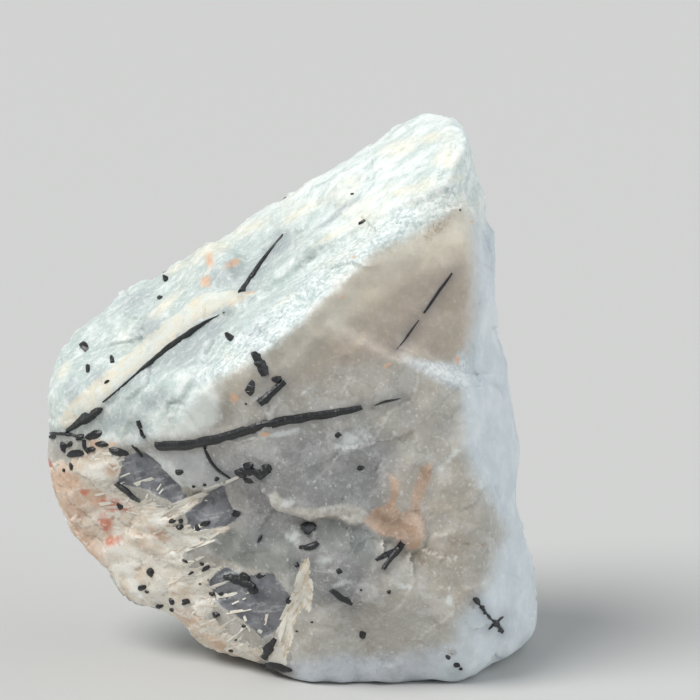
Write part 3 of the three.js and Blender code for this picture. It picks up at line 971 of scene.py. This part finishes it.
def front_face(f):
    """Warm grey with a darker heart and a pale foot, then the panel, the flank and the white lobe."""
    chips = f.chip.over(0.55, 0.9) * 0.16 + (1 - f.sugar.over(0.1, 0.4)) * 0.1
    return f.coats(
        f.mix(f.cloud.over(0.35, 0.65), (170, 165, 154), (188, 183, 172)),
        (f.zone("heart", 3, -2.5, 3), (147, 146, 145)),
        (f.zone("foot", 3, -1.5, 2), (203, 209, 215)),
        (f.panel, warm_panel(f)),
        (f.zone("tan", 0.8, -0.2, 0.9) * 0.3 * f.calm, (184, 160, 134)),
        (f.veil.over(0.5, 0.72) * 0.32 * f.calm, (138, 133, 134)),
        ((1 - f.clump.over(0.32, 0.52)) * 0.2 * f.calm, (122, 120, 122)),
        (f.mottle.over(0.48, 0.75) * 0.34 * f.calm, (216, 216, 212)),
        (chips * f.calm, (232, 233, 230)),
        ((f.fleck + f.ragged * 0.6).over(0.58, 0.74) * 0.4 * f.calm, (228, 230, 228)),
        (f.zone("notch", 1.5, -0.4, 1.0) * 0.6, (206, 208, 208)),
        (f.zone("flank", 1.4, -2.6, 0.9), pale_flank(f)),
        (f.zone("lobe", 2, -0.6, 1.2), (222, 226, 221)))


# %% The upper slope and the shelf
def upper_slope(f):
    """White and sugary, with icy, grey and cream patches, all drawn out along the ridge."""
    streak = f.noise(2.2, 4.0, 0.62, f.drawn_out(SLOPE_RUN, 3))
    ice = f.zone("ice", 3, -1.5, 3) * (f.mottle.over(0.35, 0.6) * 0.6 + 0.3)
    icy = f.mix(f.sugar.over(0.1, 0.9), (176, 196, 197), (242, 249, 247))
    return f.coats(
        f.mix(streak.over(0.36, 0.62), (203, 217, 213), (244, 250, 246)),
        (f.veil.over(0.52, 0.72) * 0.5, (196, 209, 206)),
        (f.cloud.over(0.48, 0.66) * 0.6, (250, 245, 226)),
        (ice, (186, 200, 195)),
        (f.zone("grey", 1.4, -0.4, 0.8) * 0.7, (184, 196, 195)),
        (f.zone("cream", 1.2, -0.3, 0.9) * 0.6, (250, 240, 212)),
        (f.crush * 0.5 + f.on_slope * 0.14, icy),
        ((1 - f.shred.over(0.34, 0.47)) * 0.35, (178, 194, 190)),
        (f.shred.over(0.53, 0.60) * 0.4, (253, 254, 252)),
        (f.fleck.over(0.56, 0.66) * 0.35, (253, 254, 253)))


def shelf_facet(f):
    return f.mix(f.sugar.over(0.1, 0.9), (200, 210, 214), (236, 241, 243))


# %% Cream, peach and glass
def crease_leaf(f):
    """The cream leaf that lies in the crease of the slope."""
    leaf = f.mix(f.mottle.over(0.4, 0.62), (237, 229, 207), (232, 236, 227))
    return f.mix(f.pores(0.34, 0.52), leaf, (206, 192, 164))


def plate_rim(f):
    return f.mix(f.clump.over(0.4, 0.6), (206, 200, 186), (234, 230, 220))


def peach_stain(f):
    return f.coats(
        f.mix(f.mottle.over(0.38, 0.62), (186, 152, 126), (212, 182, 156)),
        (f.chip.over(0.4, 0.9) * 0.4, (228, 200, 178)),
        (f.pores(0.36, 0.5), (160, 128, 100)))


def cream_corner(f):
    """The mass of feldspar blades, from cream to white, with peach patches."""
    return f.coats(
        f.mix(f.veil.over(0.40, 0.60), (225, 208, 187), (240, 236, 224)),
        (f.feather.over(0.40, 0.65) * 0.35, (244, 238, 224)),
        (f.pores(0.34, 0.52), (196, 168, 142)),
        (f.mottle.over(0.52, 0.66) * 0.7, (242, 241, 234)),
        (f.zone("peach", 1.2, -0.3, 0.7) * 0.75, (216, 178, 150)))


def dull_glass(f):
    dull = f.mix(f.mottle.over(0.35, 0.7), (123, 128, 124), (151, 154, 149))
    return f.mix(f.chip.over(0.4, 0.9) * 0.3, dull, (176, 178, 172))


def clear_glass(f):
    return f.coats(
        f.mix(f.mottle.over(0.32, 0.66), (90, 93, 99), (132, 134, 137)),
        (f.chip.over(0.35, 0.9) * 0.35, (158, 156, 162)),
        # pale streaks along the fibres: partly fibres seen in the glassy stone, partly painted sheen
        ((f.feather + f.fleck * 0.3).over(0.68, 0.84) * 0.5, (196, 198, 198)))


def with_insets(f, colour):
    """The colour of the stone with everything that lies in it or on it, each with its own edge."""
    fibre = f.noise(1.0, 4.0, 0.65, f.drawn_out(VEIN_RUN, 6))
    blade_edge = f.measured("blades") + (f.feather - 0.5) * 5 + f.ragged * 1.4
    vein_edge = f.measured("vein") + (fibre - 0.5) * 1.6 + f.ragged
    return f.coats(
        colour,
        (f.zone("shelf", 1.4, -0.6, 0.8) * 0.7, shelf_facet(f)),
        (f.zone("band", 2.4, -0.15, 0.25) * (f.clump.over(0.3, 0.55) * 0.4 + 0.5), crease_leaf(f)),
        (f.zone("plate_rim", 1.4, -0.3, 0.5) * 0.65, plate_rim(f)),
        (f.zone("peach_plate", 0.8, -0.2, 0.3) * 0.8, peach_stain(f)),
        (blade_edge.over(-0.1, 0.1), cream_corner(f)),
        (f.zone("dull_windows", 1.2, -0.3, 0.5) * 0.8, dull_glass(f)),
        (f.window, clear_glass(f)),
        (vein_edge.over(-0.08, 0.12), f.mix(fibre.over(0.38, 0.58), (218, 202, 178), (244, 240, 228))))


# %% Stains, painted shade, painted highlights and glint specks
def with_marks(f, colour):
    """The colour with its stains, painted shade by the crystals and in hollows, painted highlight on chipped
    edges, and glint specks.
    """
    dirt = f.zone("brown", 2.0, -0.1, 0.9) * (f.powder.over(0.40, 0.60) * 0.5 + 0.2)
    edge = f.measured("edge") + f.ragged * 6
    peach_rim_line = (f.measured("peach_plate") + f.ragged * 0.6).maths("ABSOLUTE")
    return f.coats(
        colour,
        (f.zone("grey", 1.2, -0.2, 0.8) * 0.25, (140, 144, 150)),
        # white ovals; the narrow one at 306, 391 is a painted glint
        (f.zone("white", 2.4, -0.1, 1.0) * 0.7, (230, 235, 232)),
        (f.zone("orange", 1.4, -0.1, 0.8) * 0.7, (238, 182, 138)),
        (dirt, (140, 116, 88)),
        (f.zone("red", 2.2, -0.1, 0.8) * 0.75, (210, 110, 78)),
        # painted shade beside the crystals, for their shadow in the milky stone
        (f.measured("painted_crystal_shade") * 0.3, (96, 100, 112)),
        # sharp edges lighter: partly chipped stone, partly painted highlight
        (edge.over(3.0, 9.0) * (f.bladed * 0.3 + 0.08), (244, 244, 240)),
        # painted shade in the hollows
        ((0 - edge).over(3.0, 10.0) * (f.bladed * 0.2 + 0.08), (120, 112, 104)),
        # white specks painted as glints
        (f.glint_specks * f.calm * 0.3, (246, 248, 247)),
        # a pale line round the peach plate: partly its paler rim, partly painted highlight on the plate's
        # edge
        ((1 - peach_rim_line.over(0.05, 0.3)) * f.mottle.over(0.4, 0.6) * 0.4, (222, 204, 186)))


# %% The whole finish
def moonstone_finish():
    f = StoneFinish()
    ridge = f.measured("ridge_side") + f.ragged * 2.4 + (f.fleck - 0.5) * 1.6
    colour = f.mix(ridge.over(-1.5, 0.9), front_face(f), upper_slope(f))
    colour = with_marks(f, with_insets(f, colour))
    facing = f.tipped(f.add("NewGeometry", output="Normal"), f.flake, 0.14)
    facing = f.tipped(facing, f.grain, f.on_slope * 0.03 + f.crush * 0.22 + 0.07)
    height = f.fleck * 0.2 + f.ragged * 0.5 + f.bladed * f.feather * 0.8 + f.clump * 0.3
    height = height + f.shred * f.on_slope * 0.5
    return f.close(
        Base_Color=colour, Normal=f.bump(height, 0.4, 0.30, Normal=facing), IOR=1.53,
        Roughness=0.36 + f.mottle * 0.3 - f.window * 0.12 - f.glint_specks * 0.2 + f.bladed * 0.15,
        Subsurface_Weight=0.3, Subsurface_Radius=(1.0, 0.95, 0.9), Subsurface_Scale=2.5 * MM)


STONE_SHARP = math.radians(38)

stone.data.materials.append(moonstone_finish())
only(stone)
bpy.ops.object.shade_smooth_by_angle(angle=STONE_SHARP)
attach(stone, "root")
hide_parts("moonstone")

# %% [markdown]
# ## Tourmaline
# Tourmaline grows in long prisms with fine grooves along them. One prism is modelled: a cylinder, cut into
# many rings. Each crystal is a copy of it, laid on the stone by sight: the points of its line are cast
# from the eye on to the stone, and the rings are placed along them, half sunk.

# %% Casting on to the stone
STONE_MIDDLE = (300, 450)
RIM_STEPS = 8

stone_tree = tree_of(stone.data)


def surface_seen(place):
    """Point and outward direction where a line of sight meets the stone. A miss at the rim moves inward."""
    inward = np.array(STONE_MIDDLE) - np.array(place)
    inward = inward / np.linalg.norm(inward)
    for step in range(RIM_STEPS):
        point, normal, _, _ = stone_tree.ray_cast(view_eye, sight_line(place + inward * step))
        if point is not None:
            return np.array(point) / MM, np.array(normal)
    raise ValueError(f"the line of sight through {place} misses the stone")


# %% One prism and one blade to copy
PRISM_SIDES = 14
PRISM_RINGS = 44
BLADE_SIDES = 4
BLADE_RINGS = 5


def ringed_cylinder(name, sides, rings):
    """An upright cylinder, 1 across its radius and 1 tall, cut into rings."""
    piece = added(name, bpy.ops.mesh.primitive_cylinder_add, vertices=sides, radius=1, depth=1)
    bpy.ops.object.mode_set(mode="EDIT")
    bpy.ops.mesh.select_all(action="DESELECT")
    mesh = bmesh.from_edit_mesh(piece.data)
    for edge in mesh.edges:
        edge.select = abs(edge.verts[0].co.z - edge.verts[1].co.z) > 0.5
    bmesh.update_edit_mesh(piece.data)
    bpy.ops.mesh.subdivide(number_cuts=rings - 1)
    bpy.ops.object.mode_set(mode="OBJECT")
    return piece


prism_pattern = ringed_cylinder("prism_pattern", PRISM_SIDES, PRISM_RINGS)
blade_pattern = ringed_cylinder("blade_pattern", BLADE_SIDES, BLADE_RINGS)

# %% Laying a copy along a line
CRYSTAL_PROUD = 0.42
SPLINTER_PROUD = 0.25
BREAK_LENGTH = 0.8


def even_path(points, count):
    """Count points spread evenly along a smooth line through the given ones."""
    points = np.array(points, float)
    steps = np.concatenate(([0], np.cumsum(np.linalg.norm(np.diff(points[:, :3], axis=0), axis=1))))
    at = np.linspace(0, steps[-1], count)
    path = np.column_stack([np.interp(at, steps, points[:, axis]) for axis in range(points.shape[1])])
    for _ in range(2):
        path[1:-1] = (path[:-2] + 2 * path[1:-1] + path[2:]) / 4
    return path


def cast_line(rows, samples_a_step=4):
    """A drawn line cast on to the stone: its points, their widths and the mean way out."""
    flat = [[across, down, 0, width] for across, down, width in rows]
    drawn = even_path(flat, samples_a_step * len(rows))
    hits = [surface_seen(row[:2]) for row in drawn]
    outward = np.mean([normal for _, normal in hits], axis=0)
    points = np.array([point for point, _ in hits])
    return points, drawn[:, 3], outward / np.linalg.norm(outward)


def lay_along(piece, points, widths, outward, rings, shape):
    """Moves a ringed cylinder's rings along points; shape gives across and out for each angle and ring."""
    path = even_path(np.column_stack((points, widths)), rings + 1)
    spine, width = path[:, :3], path[:, 3]
    tangent = np.gradient(spine, axis=0)
    tangent /= np.linalg.norm(tangent, axis=1)[:, None]
    out = outward - tangent * (tangent @ outward)[:, None]
    out /= np.linalg.norm(out, axis=1)[:, None]
    across = np.cross(tangent, out)
    start = read_rows(piece.data.vertices, "co", 3)
    ring = np.rint((start[:, 2] + 0.5) * rings).astype(int)
    angle = np.arctan2(start[:, 1], start[:, 0])
    over, up, slide = (part[:, None] for part in shape(angle, ring, width[ring]))
    set_points(piece, spine[ring] + over * across[ring] + up * out[ring] + slide * tangent[ring])
    return ring / rings * np.linalg.norm(np.diff(spine, axis=0), axis=1).sum(), angle * width[ring]


def grooved(seed, length):
    """A rounded triangle with grooves along it, an uneven run and ragged ends."""
    random = np.random.default_rng(seed)
    by_side = random.uniform(-0.06, 0.14, PRISM_SIDES)
    knots = max(3, int(length / BREAK_LENGTH))
    at = np.linspace(0, knots - 1, PRISM_RINGS + 1)
    by_ring = np.interp(at, range(knots), random.uniform(-0.14, 0.10, knots))
    shift = np.interp(at, range(knots), random.uniform(-0.16, 0.16, knots))
    ends = random.uniform(-0.5, 0.5, PRISM_SIDES)

    def shape(angle, ring, width):
        side = np.rint(angle / (2 * math.pi) * PRISM_SIDES).astype(int) % PRISM_SIDES
        radius = width * (1 + by_side[side] + by_ring[ring] + 0.1 * np.cos(3 * angle + seed))
        slide = ends[side] * width * ((ring == 0) | (ring == PRISM_RINGS))
        return radius * np.cos(angle) + shift[ring] * width, radius * np.sin(angle), slide

    return shape


def crystal(name, rows, seed, proud=CRYSTAL_PROUD):
    """A grooved prism laid along a drawn line."""
    points, widths, outward = cast_line(rows)
    points = points + outward * np.minimum(proud - widths, widths * 0.7 - 0.12)[:, None]
    piece = placed(name, prism_pattern.data.copy())
    length = np.linalg.norm(points[-1] - points[0])
    lengthwise, around = lay_along(piece, points, widths, outward, PRISM_RINGS, grooved(seed, length))
    keep(piece, "lengthwise", lengthwise)
    keep(piece, "around", around)
    return piece


# %% [markdown]
# ## Tourmaline finish
# Tourmaline is black with a grey gloss on its grooves. The grooves follow each crystal, so the pattern
# reads how far round and how far along the crystal a point is.


# %% Tourmaline finish in nodes
def tourmaline_finish():
    f = Finish("tourmaline_grooved")
    around = f.measured("around")
    lengthwise = f.measured("lengthwise")
    grooves_at = f.add("CombineXYZ", inputs={0: around * 4.5, 1: lengthwise * 0.25, 2: 0.0})
    grooves = f.add("TexNoise", inputs={"Vector": grooves_at, "Scale": 1.6, "Detail": 3.0}, output="Fac")
    cracks_at = f.add("CombineXYZ", inputs={0: around * 0.3, 1: lengthwise * 1.4, 2: 3.0})
    to_edge = {"feature": "DISTANCE_TO_EDGE"}
    cracks = f.add("TexVoronoi", to_edge, {"Vector": cracks_at, "Scale": 0.6}, "Distance")
    dust = f.noise(0.7, 4.0)
    colour = f.mix(grooves.over(0.4, 0.7), (6, 8, 10), (29, 33, 36))
    colour = f.mix(dust.over(0.58, 0.74) * 0.22, colour, (92, 98, 96))
    bump = f.bump(grooves * 0.8 + cracks.over(0.0, 0.06) * 0.6, 0.6, 0.12)
    return f.close(Base_Color=colour, Roughness=0.24 + dust * 0.3, Normal=bump, IOR=1.63)


tourmaline = tourmaline_finish()


def settle(piece, finish, sharp=30):
    """Gives a piece its finish, its shading and the body it rides on."""
    piece.data.materials.clear()
    piece.data.materials.append(finish)
    only(piece)
    bpy.ops.object.shade_smooth_by_angle(angle=math.radians(sharp))
    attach(piece, "root")


# %% [markdown]
# ## The larger crystals
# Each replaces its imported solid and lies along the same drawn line.

# %% Crystals that replace a solid
for number, (name, rows) in enumerate(CRYSTALS.items()):
    piece = crystal("tourmaline_" + name + "_grooved", rows, 100 + number)
    settle(piece, tourmaline)
    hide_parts("tourmaline_" + name)
print("crystals that replace a solid:", len(CRYSTALS))

# %% [markdown]
# ## Grains and splinters
# Smaller crystals sit in the stone as black grains. One grain is modelled, a ball with its sides cut flat,
# and each copy is squeezed to its own drawn size. A row gives across, down, long, wide, and the angle where
# it is turned. More of them, strewn by a seeded dice, go on round the sides and the back.

# %% Places of the grains
GRAINS = [
    [84, 347, 13, 9, -50], [112, 360, 6, 9, 10], [107, 382, 6, 3, 30], [88, 369, 6, 9, 20],
    [160, 298, 8, 8], [166, 279, 10, 6, -50], [231, 338, 15, 8, -38], [250, 389, 17, 11, 80],
    [277, 379, 10, 7], [95, 433, 16, 8, 20], [74, 454, 18, 10, 10], [71, 467, 4, 9], [64, 447, 8, 12, 20],
    [118, 452, 19, 9, -8], [179, 472, 8, 6], [217, 479, 5, 4], [205, 485, 4, 3], [194, 486, 4, 3],
    [237, 513, 13, 8, -5], [338, 435, 7, 6], [361, 468, 7, 6], [120, 506, 11, 9], [172, 521, 7, 5, 20],
    [181, 521, 5, 4], [180, 527, 10, 6], [197, 528, 8, 6, -60], [205, 524, 10, 5, 20], [311, 527, 13, 12],
    [311, 546, 15, 8, 25], [302, 547, 8, 4, 10], [297, 565, 6, 5], [339, 571, 7, 6], [289, 600, 8, 5, 70],
    [389, 592, 4, 4], [363, 635, 9, 7, -30], [150, 573, 9, 9], [142, 588, 10, 7, 20], [147, 592, 5, 3],
    [171, 601, 9, 9], [185, 602, 11, 7, 30], [216, 615, 8, 6], [244, 626, 4, 3], [159, 606, 7, 5],
    [206, 568, 11, 5, 30], [191, 573, 6, 3, 30], [185, 561, 6, 3, -30], [202, 564, 5, 3, -30],
    [229, 578, 12, 8], [244, 577, 14, 10, 10], [253, 590, 10, 8], [261, 575, 12, 6, 15], [212, 594, 6, 4],
    [221, 594, 6, 4], [229, 593, 4, 3], [231, 650, 6, 3, -20], [172, 610, 5, 4], [243, 474, 13, 11],
    [249, 465, 12, 10], [250, 479, 14, 9], [261, 477, 15, 10], [266, 469, 11, 9], [448, 657, 6, 4, -30],
    [457, 665, 7, 5, -20], [461, 669, 4, 3], [477, 601, 9, 6, -30], [482, 607, 5, 4], [485, 613, 4, 3],
    [496, 622, 9, 8, 20], [500, 630, 6, 5], [362, 222, 8, 3, 30], [352, 194, 4, 2, 20], [312, 622, 3, 2],
    [297, 631, 3, 2], [361, 590, 3, 2], [260, 364, 11, 11], [257, 357, 8, 9], [54, 436, 12, 6],
    [67, 434, 12, 5, -10], [80, 437, 12, 7, 10], [89, 437, 12, 9, 30], [101, 444, 13, 6], [92, 449, 9, 5],
    [70, 444, 8, 5, 40], [460, 210, 2, 2], [246, 404, 3, 2], [200, 584, 3, 2], [236, 640, 3, 2],
    [64, 470, 3, 4],
]
STREWN_GRAINS = 60
STREWN_BEHIND = -0.25
STREWN_ABOVE = 2

# %% Shape of a grain
GRAIN_SCALE = 1.22
GRAIN_CUTS = 11
GRAIN_SUNK = 0.75
GRAIN_PROUD = 0.32
STEEPEST_SLANT = -0.68

grain_pattern = added("grain_pattern", bpy.ops.mesh.primitive_ico_sphere_add, subdivisions=2, radius=1)
ball = read_rows(grain_pattern.data.vertices, "co", 3)
behind = np.flatnonzero((toward_eye < STREWN_BEHIND) & (body[:, 2] > STREWN_ABOVE))


def cut_ball(seed):
    """The ball's points after some flat cuts, so that it has the sides of a crystal grain."""
    random = np.random.default_rng(seed)
    shape = ball.copy()
    for _ in range(GRAIN_CUTS):
        side = random.normal(size=3)
        side /= np.linalg.norm(side)
        beyond = np.maximum(shape @ side - random.uniform(0.62, 0.85), 0)
        shape -= beyond[:, None] * side
    return shape


def grain(seed, middle, outward, lengthwise, widthwise):
    """A grain with its middle just under the surface and its half axes as given."""
    shape = cut_ball(seed)
    thick = min(np.linalg.norm(lengthwise), np.linalg.norm(widthwise))
    points = middle + shape[:, :1] * lengthwise + shape[:, 1:2] * widthwise
    points = points + shape[:, 2:] * outward * thick - outward * max(thick * GRAIN_SUNK - GRAIN_PROUD, 0.02)
    piece = placed("grain", grain_pattern.data.copy())
    set_points(piece, points)
    keep(piece, "lengthwise", points[:, 2])
    keep(piece, "around", points[:, 0] * 0.7)
    return piece


def on_flat(across, up, outward):
    """A step in the view, in its units, laid on a flat that faces outward, along the line of sight."""
    step = (np.array(view_right) * across + np.array(view_up) * up) * VIEW_UNIT / MM * GRAIN_SCALE
    away = np.array(view_away)
    slant = min(away @ outward, STEEPEST_SLANT)
    return step - away * (step @ outward) / slant


def drawn_grain(seed, across, down, long, wide, angle=0):
    middle, outward = surface_seen((across, down))
    turn = math.radians(angle)
    lengthwise = on_flat(long / 2 * math.cos(turn), long / 2 * math.sin(turn), outward)
    widthwise = on_flat(-wide / 2 * math.sin(turn), wide / 2 * math.cos(turn), outward)
    return grain(seed, middle, outward, lengthwise, widthwise)


def strewn_grain(seed, random):
    """A grain at a random vertex of the faces that turn away from the eye."""
    vertex = stone.data.vertices[int(random.choice(behind))]
    outward = np.array(vertex.normal)
    lengthwise = np.cross(outward, random.normal(size=3))
    lengthwise *= random.uniform(0.35, 1.2) / np.linalg.norm(lengthwise)
    widthwise = np.cross(outward, lengthwise) * random.uniform(0.5, 0.95)
    return grain(seed, np.array(vertex.co) / MM, outward, lengthwise, widthwise)


# %% Make the grains and splinters
dice = np.random.default_rng(7)
small_ones = [drawn_grain(300 + n, *row) for n, row in enumerate(GRAINS)]
small_ones += [strewn_grain(500 + n, dice) for n in range(STREWN_GRAINS)]
small_ones += [crystal("splinter", rows, 700 + n, SPLINTER_PROUD) for n, rows in enumerate(SPLINTERS)]
grains_piece = joined(small_ones, "tourmaline_grains")
settle(grains_piece, tourmaline, sharp=20)
print("grains and splinters:", len(small_ones))

# %% [markdown]
# ## Feldspar blades
# The cream corner is a mass of thin flat blades that run to the right and a little up, and end in the grey
# stone as needles. The larger ones are drawn, each by its two ends and its width; the rest are strewn over
# the corner's rim by a seeded dice. Each is a copy of one four-sided bar, laid on the stone like the
# crystals but flat.

# %% Places of the blades
BLADES = [
    [170, 508, 205, 493, 6], [178, 537, 229, 527, 5], [184, 549, 214, 539, 6], [208, 598, 249, 592, 4],
    [226, 613, 251, 609, 3], [137, 486, 154, 479, 8], [150, 501, 161, 484, 2], [154, 500, 163, 489, 2],
    [244, 650, 261, 630, 7], [244, 616, 250, 631, 3], [267, 614, 265, 625, 3], [186, 531, 206, 524, 4],
    [146, 498, 150, 488, 2], [118, 462, 124, 459, 3], [112, 470, 122, 465, 3], [168, 515, 184, 506, 4],
    [196, 560, 216, 549, 3], [188, 575, 212, 562, 3], [176, 583, 204, 574, 4], [210, 588, 232, 580, 3],
    [226, 641, 246, 626, 4], [232, 604, 246, 598, 2], [205, 489, 226, 482, 3], [222, 484, 238, 477, 4],
    [120, 477, 130, 473, 2], [248, 660, 262, 646, 4], [214, 632, 236, 618, 3], [180, 512, 198, 502, 3],
    [282, 620, 298, 586, 5], [276, 648, 288, 612, 5], [296, 592, 308, 566, 4], [290, 616, 304, 592, 4],
]
STREWN_BLADES = 150
STREWN_FIELD = ((48, 262), (452, 668))
STREWN_FROM = 95
FRINGE_DEPTH = 1.5

# %% Shape of a blade
BLADE_SUNK = 0.18
BLADE_THICK = 0.3


def flat_bar(seed):
    """A flat four-sided section that narrows a little to the far end."""
    tilt = np.random.default_rng(seed).uniform(-0.35, 0.35)

    def shape(angle, ring, width):
        narrowing = 1 - 0.35 * (ring / BLADE_RINGS) ** 2
        over = np.cos(angle + math.pi / 4) * width * narrowing
        up = np.sin(angle + math.pi / 4) * BLADE_THICK + np.cos(angle + math.pi / 4) * tilt * width
        return over, up, 0.5 * over

    return shape


def blade(seed, start, end, wide, tone):
    """A bar from one drawn place to another, as wide as drawn; tone runs from tan to white."""
    half = wide * VIEW_UNIT / MM / 2 * math.sqrt(2)
    points, widths, outward = cast_line([[*start, half], [*end, half]], samples_a_step=3)
    piece = placed("blade", blade_pattern.data.copy())
    lay_along(piece, points - outward * BLADE_SUNK, widths, outward, BLADE_RINGS, flat_bar(seed))
    keep(piece, "tone", np.full(len(piece.data.vertices), tone))
    return piece


def misses(place):
    """Whether the line of sight through a place misses the stone."""
    return stone_tree.ray_cast(view_eye, sight_line(place))[0] is None


def strewn_blades(count, random):
    """Blades at random places of the cream corner, in the direction in which its fibres run."""
    made = []
    while len(made) < count:
        place = np.array([random.uniform(*field) for field in STREWN_FIELD])
        depth = inside_zone(place[None, :], CREAM_CORNER)[0]
        kept = random.uniform(0, 1) < math.exp(-depth / FRINGE_DEPTH) and place[0] > STREWN_FROM
        if depth < 0.1 or not kept or misses(place):
            continue
        turn = math.radians(random.normal(20, 22))
        reach = random.uniform(3, 11) * np.array((math.cos(turn), -math.sin(turn)))
        if misses(place - reach) or misses(place + reach):
            continue
        wide, tone = random.uniform(1.6, 4.4), random.uniform(0.4, 1)
        made.append(blade(900 + len(made), place - reach, place + reach, wide, tone))
    return made


# %% Blade finish
def blade_finish():
    f = Finish("feldspar_bladed")
    fibre = f.noise(0.7, 4.0, 0.6, f.drawn_out(BLADE_RUN, 6))
    colour = f.coats(
        f.mix(f.measured("tone").over(0.1, 0.9), (222, 200, 176), (242, 236, 220)),
        (fibre.over(0.35, 0.7) * 0.5, (246, 242, 232)),
        (f.noise(2.2).over(0.55, 0.7) * 0.3, (214, 178, 148)))
    return f.close(
        Base_Color=colour, Roughness=0.5, Normal=f.bump(fibre, 0.5, 0.15), IOR=1.53,
        Subsurface_Weight=0.25, Subsurface_Radius=(1.0, 0.9, 0.8), Subsurface_Scale=1.5 * MM)


# %% Make the blades
drawn_blades = [blade(800 + n, row[:2], row[2:4], row[4], 0.9) for n, row in enumerate(BLADES)]
blades_piece = joined(drawn_blades + strewn_blades(STREWN_BLADES, dice), "feldspar_blades")
settle(blades_piece, blade_finish(), sharp=25)
for pattern in (prism_pattern, blade_pattern, grain_pattern):
    bpy.data.objects.remove(pattern)
print("blades:", len(BLADES) + STREWN_BLADES)
